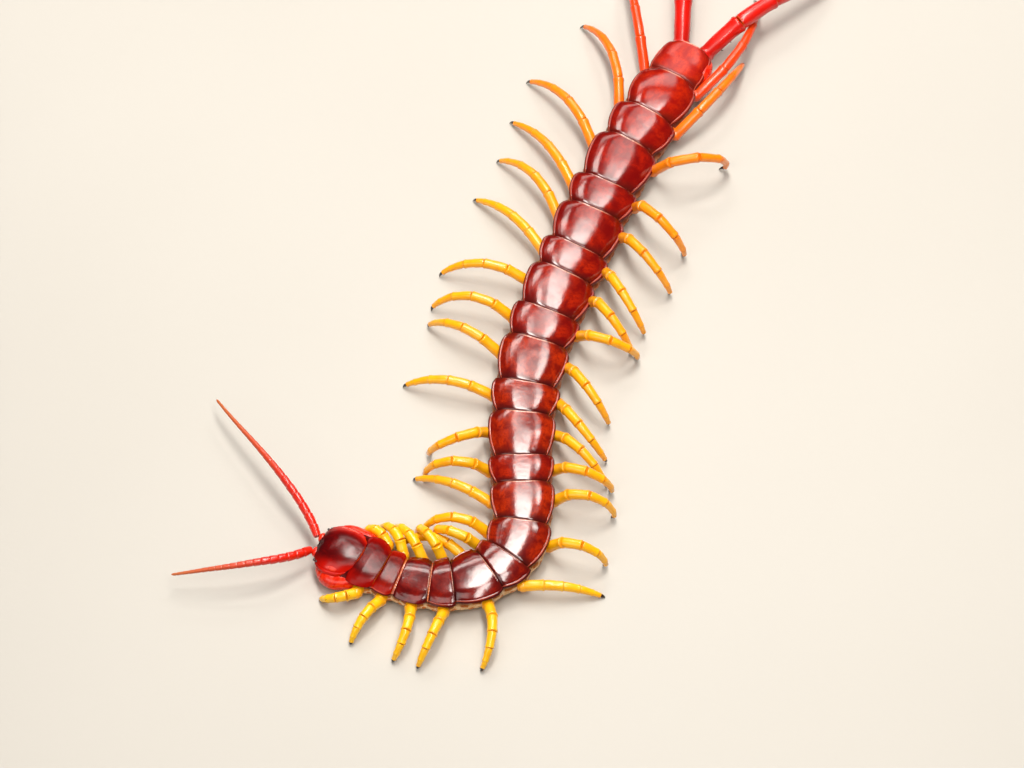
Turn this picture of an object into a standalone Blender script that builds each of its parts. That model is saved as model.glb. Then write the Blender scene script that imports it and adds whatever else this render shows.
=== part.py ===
"""A giant centipede at life size, standing in a loose S on a level floor.

Metres, +Z up. The head is near the front left corner and the trunk runs to the back right. The
origin is the middle of the model's box, at floor level. All the sizes below are in millimetres
and degrees, and a bearing is measured anticlockwise from +X.
"""

import math

import bmesh
import bpy
from mathutils import Matrix, Vector

MM = 0.001
WELD_DISTANCE = 0.01
SHARP_EDGE = 40.0

# The axis of the body, from the front of the head to the rear of the last tergite.
HEAD_FRONT = (-43.5, -72.9)
HEAD_LENGTH = 9.4
HEAD_BEARING = -21.5
SEGMENT_LENGTHS = (
    5.8, 4.0, 6.8, 5.0, 8.4, 5.4, 9.0,
    9.8, 6.7, 11.1, 7.7, 11.5, 8.1, 11.1,
    7.5, 11.0, 8.1, 12.7, 9.3, 12.3, 9.8,
)
SEGMENT_BEARINGS = (
    -30, -24, -14, -2, 21, 40, 73,
    91.5, 92, 88, 83, 78, 72, 70,
    67, 70, 68, 66, 61, 63, 62.5,
)
SEGMENTS = len(SEGMENT_LENGTHS)
SEGMENTS_PER_NODE = 3
AXIS_STEP = 0.25

# The trunk's cross section. A height of 0 is the belly and 1 is the crown of the back.
WIDTH_KEYS = (
    (1, 12.7), (2, 11.6), (5, 13.2), (8, 14.1), (12, 15.5),
    (16, 15.7), (19, 15.3), (20, 15.0), (21, 11.8),
)
BELLY_CLEARANCE = 0.9
HEIGHT_PER_WIDTH = 0.5
BACK_OUTLINE = ((0.0, 1.0), (0.4, 0.965), (0.74, 0.86), (1.0, 0.62), (0.97, 0.57))
BELLY_OUTLINE = ((0.75, 0.52), (0.75, 0.12), (0.58, 0.0), (0.0, 0.0))
# The part of its height that the back above this level would keep where a tergite is empty.
BACK_FROM_HEIGHT = 0.55
LEAST_BACK_HEIGHT = 0.9
# How full a tergite is along its length: narrow in front, widest towards the rear.
TERGITE_FULLNESS = ((0.05, 0.86), (0.38, 0.95), (0.76, 1.0), (0.95, 0.96))
GAP = 0.4

# A walking leg: its whole length by number, the share of each of its six articles, how much it
# bends at the start of each, and its radius at the root, the hip and the end of each article.
LEG_LENGTH_KEYS = (
    (1, 10.0), (2, 13.0), (3, 15.0), (5, 17.5), (8, 20.5), (11, 22.5),
    (14, 23.5), (17, 27.0), (19, 31.5), (20, 37.0),
)
LEG_SHARES = (0.25, 0.22, 0.20, 0.17, 0.09, 0.07)
LEG_BENDS = (0.0, 1.0, 1.0, 0.8, 0.5, 0.9)
LEG_RADII = (1.0, 1.1, 1.0, 0.92, 0.80, 0.62, 0.48, 0.24)
# Where a leg leaves its segment, as a share of the segment's length, and where its hip is.
LEG_PLACE_KEYS = ((1, 0.60), (8, 0.64), (18, 0.72), (19, 0.90), (20, 0.92))
LEG_ROOT_HEIGHT = 0.29
LEG_HIP_OUT_KEYS = ((1, 0.6), (5, 0.2), (9, -0.3), (20, -0.3))
LEG_HIP_DROP = 0.35
LEG_ROOT_GAP = 0.7
LEG_SIDES_RESOLUTION = 1
MOST_LEG_BEND = 75.0
LEG_BEND_HALVINGS = 40

# How each walking leg stands: the bearing from its hip to its foot, how far the foot is from
# the hip, and how far the arch of the leg leans over. A leg that points straight out leans
# towards the head where this is positive, and one that trails leans away from the body.
LEFT_LEGS = {
    1: (176, 7.5, -40), 2: (-124, 11.0, 5), 3: (-109, 11.8, -20), 4: (-115, 13.0, -10),
    5: (-97, 14.3, -25), 6: (-3, 17.7, -10), 7: (-14, 12.0, 5), 8: (-10, 12.6, 0),
    9: (-15, 12.6, 10), 10: (-45, 15.8, 5), 11: (-51, 16.5, 15), 12: (-54, 15.6, 10),
    13: (-14, 13.0, 20), 14: (-53, 14.0, 10), 15: (-59, 16.4, 12), 16: (-50, 16.6, 12),
    17: (-44, 14.5, 12), 18: (12, 15.5, 20), 19: (55, 28.0, 25), 20: (65, 33.5, 45),
}
RIGHT_LEGS = {
    1: (145, 6.5, -25), 2: (126, 9.0, -20), 3: (124, 11.0, -5), 4: (125, 9.0, 0),
    5: (166, 15.0, -40), 6: (152, 9.0, 15), 7: (173, 14.0, -10), 8: (155, 18.8, -5),
    9: (176, 13.6, 5), 10: (-166, 13.0, 20), 11: (167, 20.4, -10), 12: (149, 19.0, 0),
    13: (166, 18.8, -15), 14: (169, 20.4, -15), 15: (134, 23.0, -20), 16: (128, 23.0, -25),
    17: (125, 25.4, -25), 18: (126, 26.4, -25), 19: (108, 28.0, -30), 20: (98, 33.5, 0),
}

# The last pair of legs, which the animal trails behind it. They grow from the rear of the trunk.
LAST_LEG = 21
LAST_LEG_LENGTH = 42.0
LAST_LEG_SHARES = (0.26, 0.235, 0.21, 0.165, 0.08, 0.05)
LAST_LEG_BENDS = (0.0, 1.0, 1.0, 0.8, 0.4, 1.0)
LAST_LEG_RADII = (1.6, 1.85, 2.0, 1.8, 1.5, 1.1, 0.75, 0.3)
LAST_LEG_ROOT_SIDE = 3.1
LAST_LEG_ROOT_HEIGHT = 3.4
LAST_LEG_HIP_BEHIND = 1.1
LAST_LEG_POSES = {"left": (36, 38.5, 0), "right": (87, 38.5, 0)}

# The head capsule: how far behind its front, half its width there, and its under and upper side.
HEAD_STATIONS = (
    (0.15, 2.8, 3.9, 5.2),
    (0.8, 4.1, 3.6, 6.0),
    (2.4, 5.4, 3.4, 6.9),
    (4.8, 6.1, 3.3, 7.5),
    (7.2, 5.9, 3.3, 7.4),
    (8.6, 5.1, 3.3, 7.0),
    (9.1, 4.6, 3.4, 6.7),
)
HEAD_OUTLINE = (
    (0.0, 1.0), (0.5, 0.94), (0.85, 0.74), (1.0, 0.46), (0.9, 0.2), (0.62, 0.0), (0.0, 0.0),
)
EYE_PLACE = (2.1, 4.85, 5.3)
EYE_RADII = (0.75, 0.45, 0.5)
EYE_TURN = 28.0
EYE_RINGS = 6

# The poison claws, as places behind the front of the head, out to the side and up, and below
# them the plate that carries them and the mouthparts, with the numbers of a head station.
CLAW_ROUTE = (
    (8.4, 5.0, 2.2),
    (6.6, 5.6, 2.2),
    (4.6, 5.5, 2.2),
    (2.9, 4.6, 2.1),
    (1.6, 3.2, 1.9),
    (0.9, 1.8, 1.7),
    (0.75, 0.75, 1.5),
)
CLAW_RADII = (1.2, 1.5, 1.5, 1.25, 0.95, 0.6, 0.3)
CLAW_SIDES_RESOLUTION = 2
CLAW_BASE_STATIONS = (
    (4.3, 2.2, 1.0, 2.3),
    (5.2, 3.1, 0.9, 2.5),
    (7.4, 3.5, 0.9, 2.6),
    (9.1, 3.3, 0.9, 2.6),
)
MOUTH_STATIONS = ((1.9, 1.3, 1.5, 2.4), (2.6, 1.9, 1.3, 2.7), (3.9, 1.9, 1.3, 2.7))
SLAB_OUTLINE = ((0.0, 1.0), (0.8, 0.95), (1.0, 0.5), (0.8, 0.05), (0.0, 0.0))

# The antennae, as bearings and heights along their length. The left one is the shorter.
ANTENNA_ROOT = (-0.9, 1.75, 4.7)
ANTENNA_LENGTHS = {"left": 31.0, "right": 42.0}
ANTENNA_BEARINGS = {
    "left": ((0.0, 216), (0.12, 208), (0.3, 194), (0.6, 186), (1.0, 182)),
    "right": ((0.0, 107), (0.1, 118), (0.25, 124), (0.7, 127), (1.0, 123)),
}
ANTENNA_HEIGHTS = ((0.0, 4.7), (0.3, 7.0), (0.7, 6.6), (1.0, 5.0))
ANTENNA_RADII = ((0.0, 0.85), (0.06, 1.0), (0.3, 0.9), (0.6, 0.62), (1.0, 0.28))
ANTENNA_POINTS = 14


def interpolate(keys, value):
    """The value that goes with this one on straight lines through (place, value) keys."""
    for (low, first), (high, second) in zip(keys, keys[1:]):
        if value <= high:
            share = max(0.0, (value - low) / (high - low))
            return first + (second - first) * share
    return keys[-1][1]


def segment_start(number):
    return HEAD_LENGTH + sum(SEGMENT_LENGTHS[: number - 1])


def bearing_keys():
    """The axis turns evenly from the middle of each segment to the middle of the next."""
    keys = [(HEAD_LENGTH / 2, HEAD_BEARING)]
    for number in range(1, SEGMENTS + 1):
        middle = segment_start(number) + SEGMENT_LENGTHS[number - 1] / 2
        keys.append((middle, SEGMENT_BEARINGS[number - 1]))
    return keys


def body_axis():
    """Points every AXIS_STEP along the axis, each with its bearing towards the tail."""
    keys = bearing_keys()
    x, y = HEAD_FRONT
    points = []
    for step in range(int(segment_start(SEGMENTS + 1) / AXIS_STEP) + 2):
        bearing = math.radians(interpolate(keys, (step + 0.5) * AXIS_STEP))
        points.append((x, y, bearing))
        x += AXIS_STEP * math.cos(bearing)
        y += AXIS_STEP * math.sin(bearing)
    return points


AXIS = body_axis()


def on_body(along, left, up):
    """The point this far behind the front of the head, to the animal's left of the axis, and up."""
    place = min(max(along / AXIS_STEP, 0.0), len(AXIS) - 1.001)
    before = AXIS[int(place)]
    after = AXIS[int(place) + 1]
    share = place - int(place)
    x = before[0] + (after[0] - before[0]) * share
    y = before[1] + (after[1] - before[1]) * share
    bearing = before[2] + (after[2] - before[2]) * share
    return Vector((x + left * math.sin(bearing), y - left * math.cos(bearing), up))


def width_at(along):
    """The greatest width of the trunk here, as a smooth line through the segments."""
    keys = []
    for number, width in WIDTH_KEYS:
        keys.append((segment_start(number) + SEGMENT_LENGTHS[number - 1] / 2, width))
    return interpolate(keys, along)


def new_material(name, colour, roughness):
    material = bpy.data.materials.new(name)
    material.use_nodes = True
    shader = material.node_tree.nodes["Principled BSDF"]
    shader.inputs["Base Color"].default_value = (*colour, 1.0)
    shader.inputs["Roughness"].default_value = roughness
    return material


def add_object(name, data, material, collection):
    data.materials.append(material)
    solid = bpy.data.objects.new(name, data)
    collection.objects.link(solid)
    return solid


def loft(name, rings, material, collection):
    """A closed solid through rings of equal count, each a list of points in millimetres."""
    shape = bmesh.new()
    rows = []
    for ring in rings:
        rows.append([shape.verts.new(Vector(point) * MM) for point in ring])
    for row, following in zip(rows, rows[1:]):
        for index in range(len(row)):
            beside = (index + 1) % len(row)
            shape.faces.new((row[index], row[beside], following[beside], following[index]))
    shape.faces.new(rows[0])
    shape.faces.new(list(reversed(rows[-1])))
    bmesh.ops.recalc_face_normals(shape, faces=shape.faces)
    mesh = bpy.data.meshes.new(name)
    shape.to_mesh(mesh)
    shape.free()
    mesh.shade_smooth()
    mesh.set_sharp_from_angle(angle=math.radians(SHARP_EDGE))
    return add_object(name, mesh, material, collection)


def tube(name, points, radii, material, collection, resolution=LEG_SIDES_RESOLUTION):
    """A closed tube through these points, in millimetres, with a radius at each of them."""
    curve = bpy.data.curves.new(name, "CURVE")
    curve.dimensions = "3D"
    curve.bevel_depth = MM
    curve.bevel_resolution = resolution
    curve.use_fill_caps = True
    spline = curve.splines.new("POLY")
    spline.points.add(len(points) - 1)
    for place, point, radius in zip(spline.points, points, radii):
        place.co = (*(Vector(point) * MM), 1.0)
        place.radius = radius
    return add_object(name, curve, material, collection)


def as_mesh(solid):
    """The same object with its curve turned into a welded mesh."""
    graph = bpy.context.evaluated_depsgraph_get()
    mesh = bpy.data.meshes.new_from_object(solid.evaluated_get(graph))
    shape = bmesh.new()
    shape.from_mesh(mesh)
    bmesh.ops.remove_doubles(shape, verts=shape.verts, dist=WELD_DISTANCE * MM)
    shape.to_mesh(mesh)
    shape.free()
    name = solid.name
    collection = solid.users_collection[0]
    bpy.data.objects.remove(solid)
    copy = bpy.data.objects.new(name, mesh)
    collection.objects.link(copy)
    return copy


def flatten_at_floor(solid):
    """Cuts off what reaches below the floor, which leaves a small flat to stand on."""
    shape = bmesh.new()
    shape.from_mesh(solid.data)
    everything = shape.verts[:] + shape.edges[:] + shape.faces[:]
    cut = bmesh.ops.bisect_plane(
        shape, geom=everything, plane_co=(0, 0, 0), plane_no=(0, 0, 1), clear_inner=True
    )
    edges = [item for item in cut["geom_cut"] if isinstance(item, bmesh.types.BMEdge)]
    bmesh.ops.contextual_create(shape, geom=edges)
    bmesh.ops.recalc_face_normals(shape, faces=shape.faces)
    shape.to_mesh(solid.data)
    shape.free()


def trunk_ring(along, fullness):
    """One cross section of the trunk: the back follows the tergite and the belly does not."""
    width = width_at(along)
    height = width * HEIGHT_PER_WIDTH
    half = width / 2
    outline = [(side * half * fullness, up) for side, up in BACK_OUTLINE]
    outline += [(side * half, up) for side, up in BELLY_OUTLINE]
    mirrored = [(-side, up) for side, up in reversed(outline[1:-1])]
    ring = []
    for side, up in outline + mirrored:
        if up > BACK_FROM_HEIGHT:
            up *= LEAST_BACK_HEIGHT + (1.0 - LEAST_BACK_HEIGHT) * fullness
        ring.append(on_body(along, side, BELLY_CLEARANCE + up * height))
    return ring


def build_trunk(material, collection):
    """Seven lengths of three segments each, with a thin cut between them."""
    for first in range(1, SEGMENTS + 1, SEGMENTS_PER_NODE):
        last = first + SEGMENTS_PER_NODE - 1
        stations = []
        for number in range(first, last + 1):
            for place, fullness in TERGITE_FULLNESS:
                along = segment_start(number) + place * SEGMENT_LENGTHS[number - 1]
                stations.append((along, fullness))
        stations[0] = (segment_start(first) + GAP / 2, stations[0][1])
        stations[-1] = (segment_start(last + 1) - GAP / 2, stations[-1][1])
        rings = [trunk_ring(along, fullness) for along, fullness in stations]
        loft(f"trunk_{first:02d}_to_{last:02d}", rings, material, collection)


def arch(span, lengths, bends):
    """The points of a chain of these lengths that bends evenly over a straight span.

    They lie in a plane, from (0, 0) to (span, 0), with the chain above the span.
    """
    def chain(bend):
        angle = 0.0
        points = [(0.0, 0.0)]
        for length, share in zip(lengths, bends):
            angle -= bend * share
            x, y = points[-1]
            points.append((x + length * math.cos(angle), y + length * math.sin(angle)))
        return points

    low, high = 0.0, math.radians(MOST_LEG_BEND)
    for _ in range(LEG_BEND_HALVINGS):
        bend = (low + high) / 2
        if math.hypot(*chain(bend)[-1]) > span:
            low = bend
        else:
            high = bend
    points = chain((low + high) / 2)
    end = math.atan2(points[-1][1], points[-1][0])
    turned = []
    for x, y in points:
        turned.append((x * math.cos(end) + y * math.sin(end), y * math.cos(end) - x * math.sin(end)))
    return turned


def walking_leg_roots(number, sign):
    """Where a walking leg leaves the flank, and its hip just under the edge of the back."""
    place = interpolate(LEG_PLACE_KEYS, number)
    along = segment_start(number) + place * SEGMENT_LENGTHS[number - 1]
    half = width_at(along) / 2
    height = BELLY_CLEARANCE + LEG_ROOT_HEIGHT * half * 2 * HEIGHT_PER_WIDTH
    root = on_body(along, sign * (BELLY_OUTLINE[0][0] * half + LEG_ROOT_GAP), height)
    out = interpolate(LEG_HIP_OUT_KEYS, number)
    hip = on_body(along, sign * (half + out), height - LEG_HIP_DROP)
    return root, hip


def last_leg_roots(sign):
    """The same two points for a last leg, which leaves the rear end of the trunk."""
    end = segment_start(SEGMENTS + 1)
    side = sign * LAST_LEG_ROOT_SIDE
    root = on_body(end, side, LAST_LEG_ROOT_HEIGHT)
    toward_tail = (on_body(end, side, 0.0) - on_body(end - 1.0, side, 0.0)).normalized()
    return root + toward_tail * GAP, root + toward_tail * LAST_LEG_HIP_BEHIND


def leg_points(roots, sign, length, shares, bends, pose):
    """The centre line of a leg, from its root to the tip of its claw on the floor."""
    root, hip = roots
    bearing, reach, lean = pose
    angle = math.radians(bearing)
    foot = Vector((hip.x + reach * math.cos(angle), hip.y + reach * math.sin(angle), 0.0))
    span = foot - hip
    forward = span.normalized()
    sideways = Vector((0, 0, 1)).cross(forward).normalized() * -sign
    upward = sideways.cross(forward) * sign
    tilt = math.radians(lean)
    over = upward * math.cos(tilt) + sideways * math.sin(tilt)
    points = [root]
    for x, y in arch(span.length, [share * length for share in shares], bends):
        points.append(hip + forward * x + over * y)
    return points


def build_leg(name, points, radii, material, collection):
    leg = as_mesh(tube(name, points, radii, material, collection))
    flatten_at_floor(leg)


def walking_leg(number, sign, pose):
    length = interpolate(LEG_LENGTH_KEYS, number)
    roots = walking_leg_roots(number, sign)
    return leg_points(roots, sign, length, LEG_SHARES, LEG_BENDS, pose)


def last_leg(sign, pose):
    roots = last_leg_roots(sign)
    return leg_points(roots, sign, LAST_LEG_LENGTH, LAST_LEG_SHARES, LAST_LEG_BENDS, pose)


def build_legs(materials, collection):
    for side, sign, poses in (("left", 1, LEFT_LEGS), ("right", -1, RIGHT_LEGS)):
        for number, pose in poses.items():
            points = walking_leg(number, sign, pose)
            build_leg(f"leg_{side}_{number:02d}", points, LEG_RADII, materials["leg"], collection)
        points = last_leg(sign, LAST_LEG_POSES[side])
        name = f"leg_{side}_{LAST_LEG}"
        build_leg(name, points, LAST_LEG_RADII, materials["last_leg"], collection)


def station_ring(station, outline):
    """A cross section of a part of the head, from half of its outline."""
    along, half, low, high = station
    points = [(side * half, low + up * (high - low)) for side, up in outline]
    points += [(-side, up) for side, up in reversed(points[1:-1])]
    return [on_body_ahead(along, side, up) for side, up in points]


def on_body_ahead(along, left, up):
    """Like on_body, and it goes on straight ahead of the head."""
    point = on_body(max(along, 0.0), left, up)
    if along < 0:
        ahead = on_body(0.0, 0.0, 0.0) - on_body(1.0, 0.0, 0.0)
        point -= ahead * along
    return point


def ellipsoid(name, centre, radii, turn, material, collection):
    shape = bmesh.new()
    bmesh.ops.create_uvsphere(shape, u_segments=2 * EYE_RINGS, v_segments=EYE_RINGS, radius=1.0)
    mesh = bpy.data.meshes.new(name)
    shape.to_mesh(mesh)
    shape.free()
    mesh.shade_smooth()
    place = Matrix.Translation(Vector(centre) * MM) @ Matrix.Rotation(math.radians(turn), 4, "Z")
    mesh.transform(place @ Matrix.Diagonal((*(radius * MM for radius in radii), 1.0)))
    return add_object(name, mesh, material, collection)


def build_head(materials, collection, cutters):
    rings = [station_ring(station, HEAD_OUTLINE) for station in HEAD_STATIONS]
    head = loft("head", rings, materials["plate"], collection)
    for side, sign in (("left", 1), ("right", -1)):
        along, out, up = EYE_PLACE
        centre = on_body(along, sign * out, up)
        turn = HEAD_BEARING + sign * EYE_TURN
        ellipsoid(f"eyes_{side}", centre, EYE_RADII, turn, materials["eye"], collection)
        pocket_radii = [radius + GAP for radius in EYE_RADII]
        pocket = ellipsoid(f"cutter_eyes_{side}", centre, pocket_radii, turn, materials["eye"], cutters)
        pocket.hide_render = True
        pocket.display_type = "WIRE"
        cut = head.modifiers.new(f"eye pocket {side}", "BOOLEAN")
        cut.operation = "DIFFERENCE"
        cut.object = pocket


def build_poison_claws(materials, collection):
    rings = [station_ring(station, SLAB_OUTLINE) for station in CLAW_BASE_STATIONS]
    loft("poison_claw_base", rings, materials["plate"], collection)
    rings = [station_ring(station, SLAB_OUTLINE) for station in MOUTH_STATIONS]
    loft("mouthparts", rings, materials["plate"], collection)
    for side, sign in (("left", 1), ("right", -1)):
        points = [on_body(along, sign * out, up) for along, out, up in CLAW_ROUTE]
        name = f"poison_claw_{side}"
        claw = tube(name, points, CLAW_RADII, materials["last_leg"], collection, CLAW_SIDES_RESOLUTION)
        as_mesh(claw)


def build_antennae(material, collection):
    along, out, up = ANTENNA_ROOT
    for side, sign in (("left", 1), ("right", -1)):
        point = on_body_ahead(along, sign * out, up)
        step = ANTENNA_LENGTHS[side] / ANTENNA_POINTS
        points = []
        radii = []
        for index in range(ANTENNA_POINTS + 1):
            share = index / ANTENNA_POINTS
            point.z = interpolate(ANTENNA_HEIGHTS, share)
            points.append(point.copy())
            radii.append(interpolate(ANTENNA_RADII, share))
            bearing = math.radians(interpolate(ANTENNA_BEARINGS[side], share))
            point += Vector((math.cos(bearing), math.sin(bearing), 0.0)) * step
        as_mesh(tube(f"antenna_{side}", points, radii, material, collection))


def main():
    for leftover in list(bpy.data.objects):
        bpy.data.objects.remove(leftover)
    collection = bpy.data.collections.new("giant_centipede")
    bpy.context.scene.collection.children.link(collection)
    cutters = bpy.data.collections.new("cutters")
    bpy.context.scene.collection.children.link(cutters)
    materials = {
        "plate": new_material("plate", (0.25, 0.02, 0.012), 0.25),
        "leg": new_material("leg", (0.80, 0.38, 0.02), 0.35),
        "last_leg": new_material("last_leg", (0.65, 0.05, 0.01), 0.3),
        "eye": new_material("eye", (0.01, 0.008, 0.008), 0.15),
    }
    build_head(materials, collection, cutters)
    build_poison_claws(materials, collection)
    build_antennae(materials["last_leg"], collection)
    build_trunk(materials["plate"], collection)
    build_legs(materials, collection)


main()
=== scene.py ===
"""The looks of a giant centipede at life size: glossy plates, soft flanks, jointed legs.

Lengths in the tables are millimetres and bearings are degrees anticlockwise from +X, as in the
CAD model. A place on the animal is given as how far it is behind the front of the head, how far
it is to the animal's left, and its height.
"""

import math

import bmesh
import bpy
import numpy as np
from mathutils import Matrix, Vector, noise


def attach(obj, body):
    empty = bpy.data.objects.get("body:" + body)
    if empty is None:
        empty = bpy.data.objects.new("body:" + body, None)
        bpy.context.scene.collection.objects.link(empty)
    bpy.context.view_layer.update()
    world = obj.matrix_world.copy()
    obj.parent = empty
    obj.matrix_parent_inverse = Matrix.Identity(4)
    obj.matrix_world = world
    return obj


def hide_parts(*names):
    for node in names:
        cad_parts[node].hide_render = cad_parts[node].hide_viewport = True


MM = 0.001
ROOT = "root"
COAT_IOR = 1.55
POLE_GAP = 0.04

# The pose and the proportions of the CAD model.
HEAD_FRONT = (-43.5, -72.9)
HEAD_LENGTH = 9.4
HEAD_BEARING = -21.5
SEGMENT_LENGTHS = (
    5.8, 4.0, 6.8, 5.0, 8.4, 5.4, 9.0,
    9.8, 6.7, 11.1, 7.7, 11.5, 8.1, 11.1,
    7.5, 11.0, 8.1, 12.7, 9.3, 12.3, 9.8,
)
SEGMENT_BEARINGS = (
    -30, -24, -14, -2, 21, 40, 73,
    91.5, 92, 88, 83, 78, 72, 70,
    67, 70, 68, 66, 61, 63, 62.5,
)
SEGMENTS = len(SEGMENT_LENGTHS)
NUMBERS = range(1, SEGMENTS + 1)
SIDES = (("left", 1), ("right", -1))
AXIS_STEP = 0.25
WIDTH_KEYS = (
    (1, 12.7), (2, 11.6), (5, 13.2), (8, 14.1), (12, 15.5),
    (16, 15.7), (19, 15.3), (20, 15.0), (21, 11.8),
)
BELLY_CLEARANCE = 0.9
HEIGHT_PER_WIDTH = 0.5
LEG_LENGTH_KEYS = (
    (1, 10.0), (2, 13.0), (3, 15.0), (5, 17.5), (8, 20.5), (11, 22.5),
    (14, 23.5), (17, 27.0), (19, 31.5), (20, 37.0),
)
LEG_SHARES = (0.25, 0.22, 0.20, 0.17, 0.09, 0.07)
LEG_BENDS = (0.0, 1.0, 1.0, 0.8, 0.5, 0.9)
# The walking legs look a little thicker here than in the CAD model, and leave the flank higher.
LEG_RADII = (1.25, 1.18, 1.08, 0.92, 0.70, 0.52, 0.26)
LEG_PLACE_KEYS = ((1, 0.60), (8, 0.64), (18, 0.72), (19, 0.90), (20, 0.92))
LEG_ROOT_SIDE = 0.75
LEG_ROOT_INSET = 0.4
LEG_ROOT_HEIGHT = 0.38
LEG_HIP_OUT_KEYS = ((1, 0.6), (5, 0.2), (9, -0.3), (20, -0.3))
LEG_HIP_DROP = 0.1
MOST_LEG_BEND = 75.0
LEG_BEND_HALVINGS = 40
# Each walking leg's bearing, its reach from hip to foot, and how far its arch leans forward.
WALKING_LEGS = {"left": {
    1: (176, 7.5, -40), 2: (-124, 11.0, 5), 3: (-109, 11.8, -20), 4: (-115, 13.0, -10),
    5: (-97, 14.3, -25), 6: (-3, 17.7, -10), 7: (-14, 12.0, 5), 8: (-10, 12.6, 0),
    9: (-15, 12.6, 10), 10: (-45, 15.8, 5), 11: (-51, 16.5, 15), 12: (-54, 15.6, 10),
    13: (-14, 13.0, 20), 14: (-53, 14.0, 10), 15: (-59, 16.4, 12), 16: (-50, 16.6, 12),
    17: (-44, 14.5, 12), 18: (12, 15.5, 20), 19: (55, 28.0, 25), 20: (65, 33.5, 45),
}, "right": {
    1: (145, 6.5, -25), 2: (126, 9.0, -20), 3: (124, 11.0, -5), 4: (125, 9.0, 0),
    5: (166, 15.0, -40), 6: (152, 9.0, 15), 7: (173, 14.0, -10), 8: (155, 18.8, -5),
    9: (176, 13.6, 5), 10: (-166, 13.0, 20), 11: (167, 20.4, -10), 12: (149, 19.0, 0),
    13: (166, 18.8, -15), 14: (169, 20.4, -15), 15: (134, 23.0, -20), 16: (128, 23.0, -25),
    17: (125, 25.4, -25), 18: (126, 26.4, -25), 19: (108, 28.0, -30), 20: (98, 33.5, 0),
}}
LAST_LEG = 21
LAST_LEG_LENGTH = 42.0
LAST_LEG_SHARES = (0.26, 0.235, 0.21, 0.165, 0.08, 0.05)
LAST_LEG_BENDS = (0.0, 1.0, 1.0, 0.8, 0.4, 1.0)
LAST_LEG_RADII = (1.85, 2.0, 1.8, 1.5, 1.1, 0.75, 0.3)
LAST_LEG_ROOT_SIDE = 3.1
LAST_LEG_ROOT_HEIGHT = 3.4
LAST_LEG_ROOT_INSIDE = 0.9
LAST_LEG_HIP_BEHIND = 1.1
LAST_LEG_POSES = {"left": (36, 38.5, 0), "right": (87, 38.5, 0)}
CLAW_ROUTE = (
    (11.4, 5.2, 3.9), (9.2, 5.8, 3.5), (6.8, 6.1, 2.8), (4.7, 5.9, 2.8),
    (3.0, 4.8, 2.5), (1.7, 3.3, 2.1), (0.9, 1.8, 1.8), (0.75, 0.75, 1.5),
)
CLAW_RADII = (1.3, 1.7, 2.0, 2.0, 1.6, 1.05, 0.62, 0.3)
ANTENNA_ROOT = (-0.9, 1.75, 4.7)
ANTENNA_LENGTHS = {"left": 31.0, "right": 42.0}
ANTENNA_BEARINGS = {
    "left": ((0.0, 216), (0.12, 208), (0.3, 194), (0.6, 186), (1.0, 182)),
    "right": ((0.0, 107), (0.1, 118), (0.25, 124), (0.7, 127), (1.0, 123)),
}
ANTENNA_HEIGHTS = ((0.0, 4.7), (0.3, 7.0), (0.7, 6.6), (1.0, 5.0))
ANTENNA_RADII = ((0.0, 0.85), (0.06, 1.0), (0.3, 0.9), (0.6, 0.62), (1.0, 0.28))

# The back plates. Most are full in the middle and narrower at both ends: the shares of their width
# at the front and rear edges, by number. The others have an outline of their own.
FRONT_WIDTH_KEYS = ((3, 0.84), (8, 0.80), (16, 0.78), (20, 0.75))
REAR_WIDTH_KEYS = (
    (3, 0.86), (8, 0.83), (13, 0.815), (14, 0.78), (16, 0.75), (17, 0.72), (18, 0.68), (20, 0.63),
)
SHORT_PLATES = (4, 6, 9, 11, 13, 15, 17, 19)
SHORT_REAR_WIDTH = 0.08
WIDEST_PLACE = 0.70
FRONT_CURVE = 2.2
REAR_CURVE = 2.8
OWN_PLATE_WIDTHS = {
    1: ((0.0, 0.95), (0.3, 1.02), (0.6, 1.0), (0.85, 0.93), (1.0, 0.8)),
    2: ((0.0, 0.88), (0.5, 0.98), (0.85, 0.96), (1.0, 0.86)),
    3: ((0.0, 0.84), (0.15, 0.93), (0.5, 1.0), (0.85, 0.97), (1.0, 0.86)),
    21: ((0.0, 0.9), (0.2, 1.0), (0.5, 1.04), (0.78, 1.0), (0.92, 0.88), (1.0, 0.66)),
}
MARGIN_HEIGHT = 0.70
CROWN_HEIGHT = 0.95
PLATE_ROUNDNESS = 3.0
PLATE_THICKNESS = 0.28
PLATE_TUCK = 1.5
PLATE_OVERHANG = 0.12
PLATE_BOW_KEYS = ((0, 0.5), (1, 0.45), (2, 0.25), (3, 0.1), (5, -0.1), (8, -0.6), (17, -0.6), (21, 0.2))
# How far the back leans over to the animal's left, in degrees by segment.
ROLL_KEYS = (
    (10, 0), (11, 4), (12, 6), (13, 8), (14, 12), (16, 12), (17, 10), (19, 10), (20, 8), (21, 3),
)

# The relief of the plates, in millimetres. Places across a plate run from -1 to 1.
FRONT_DROP = 0.32
FRONT_SLOPE = 0.13
TUCKED_RISE = 0.12
REVEALED_DROP = 0.24
REVEALED_SLOPE = 0.12
REAR_DROP = 0.14
EDGE_SLOPE = 0.05
SIDE_DROP = 0.10
SIDE_EDGE = 0.985
RIM_HEIGHT = 0.05
RIM_PLACE = 0.2
RIM_WIDTH = 0.09
RIDGE_HEIGHT = 0.13
RIDGE_PLACE = 0.945
RIDGE_WIDTH = 0.014
FURROW_PLACE = 0.905
FURROW_DEPTH = 0.05
RIDGE_FROM_REAR = (0.4, 1.6)
RIDGE_FROM_FRONT = (0.2, 1.2)
FIRST_RIDGED = 4
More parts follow.
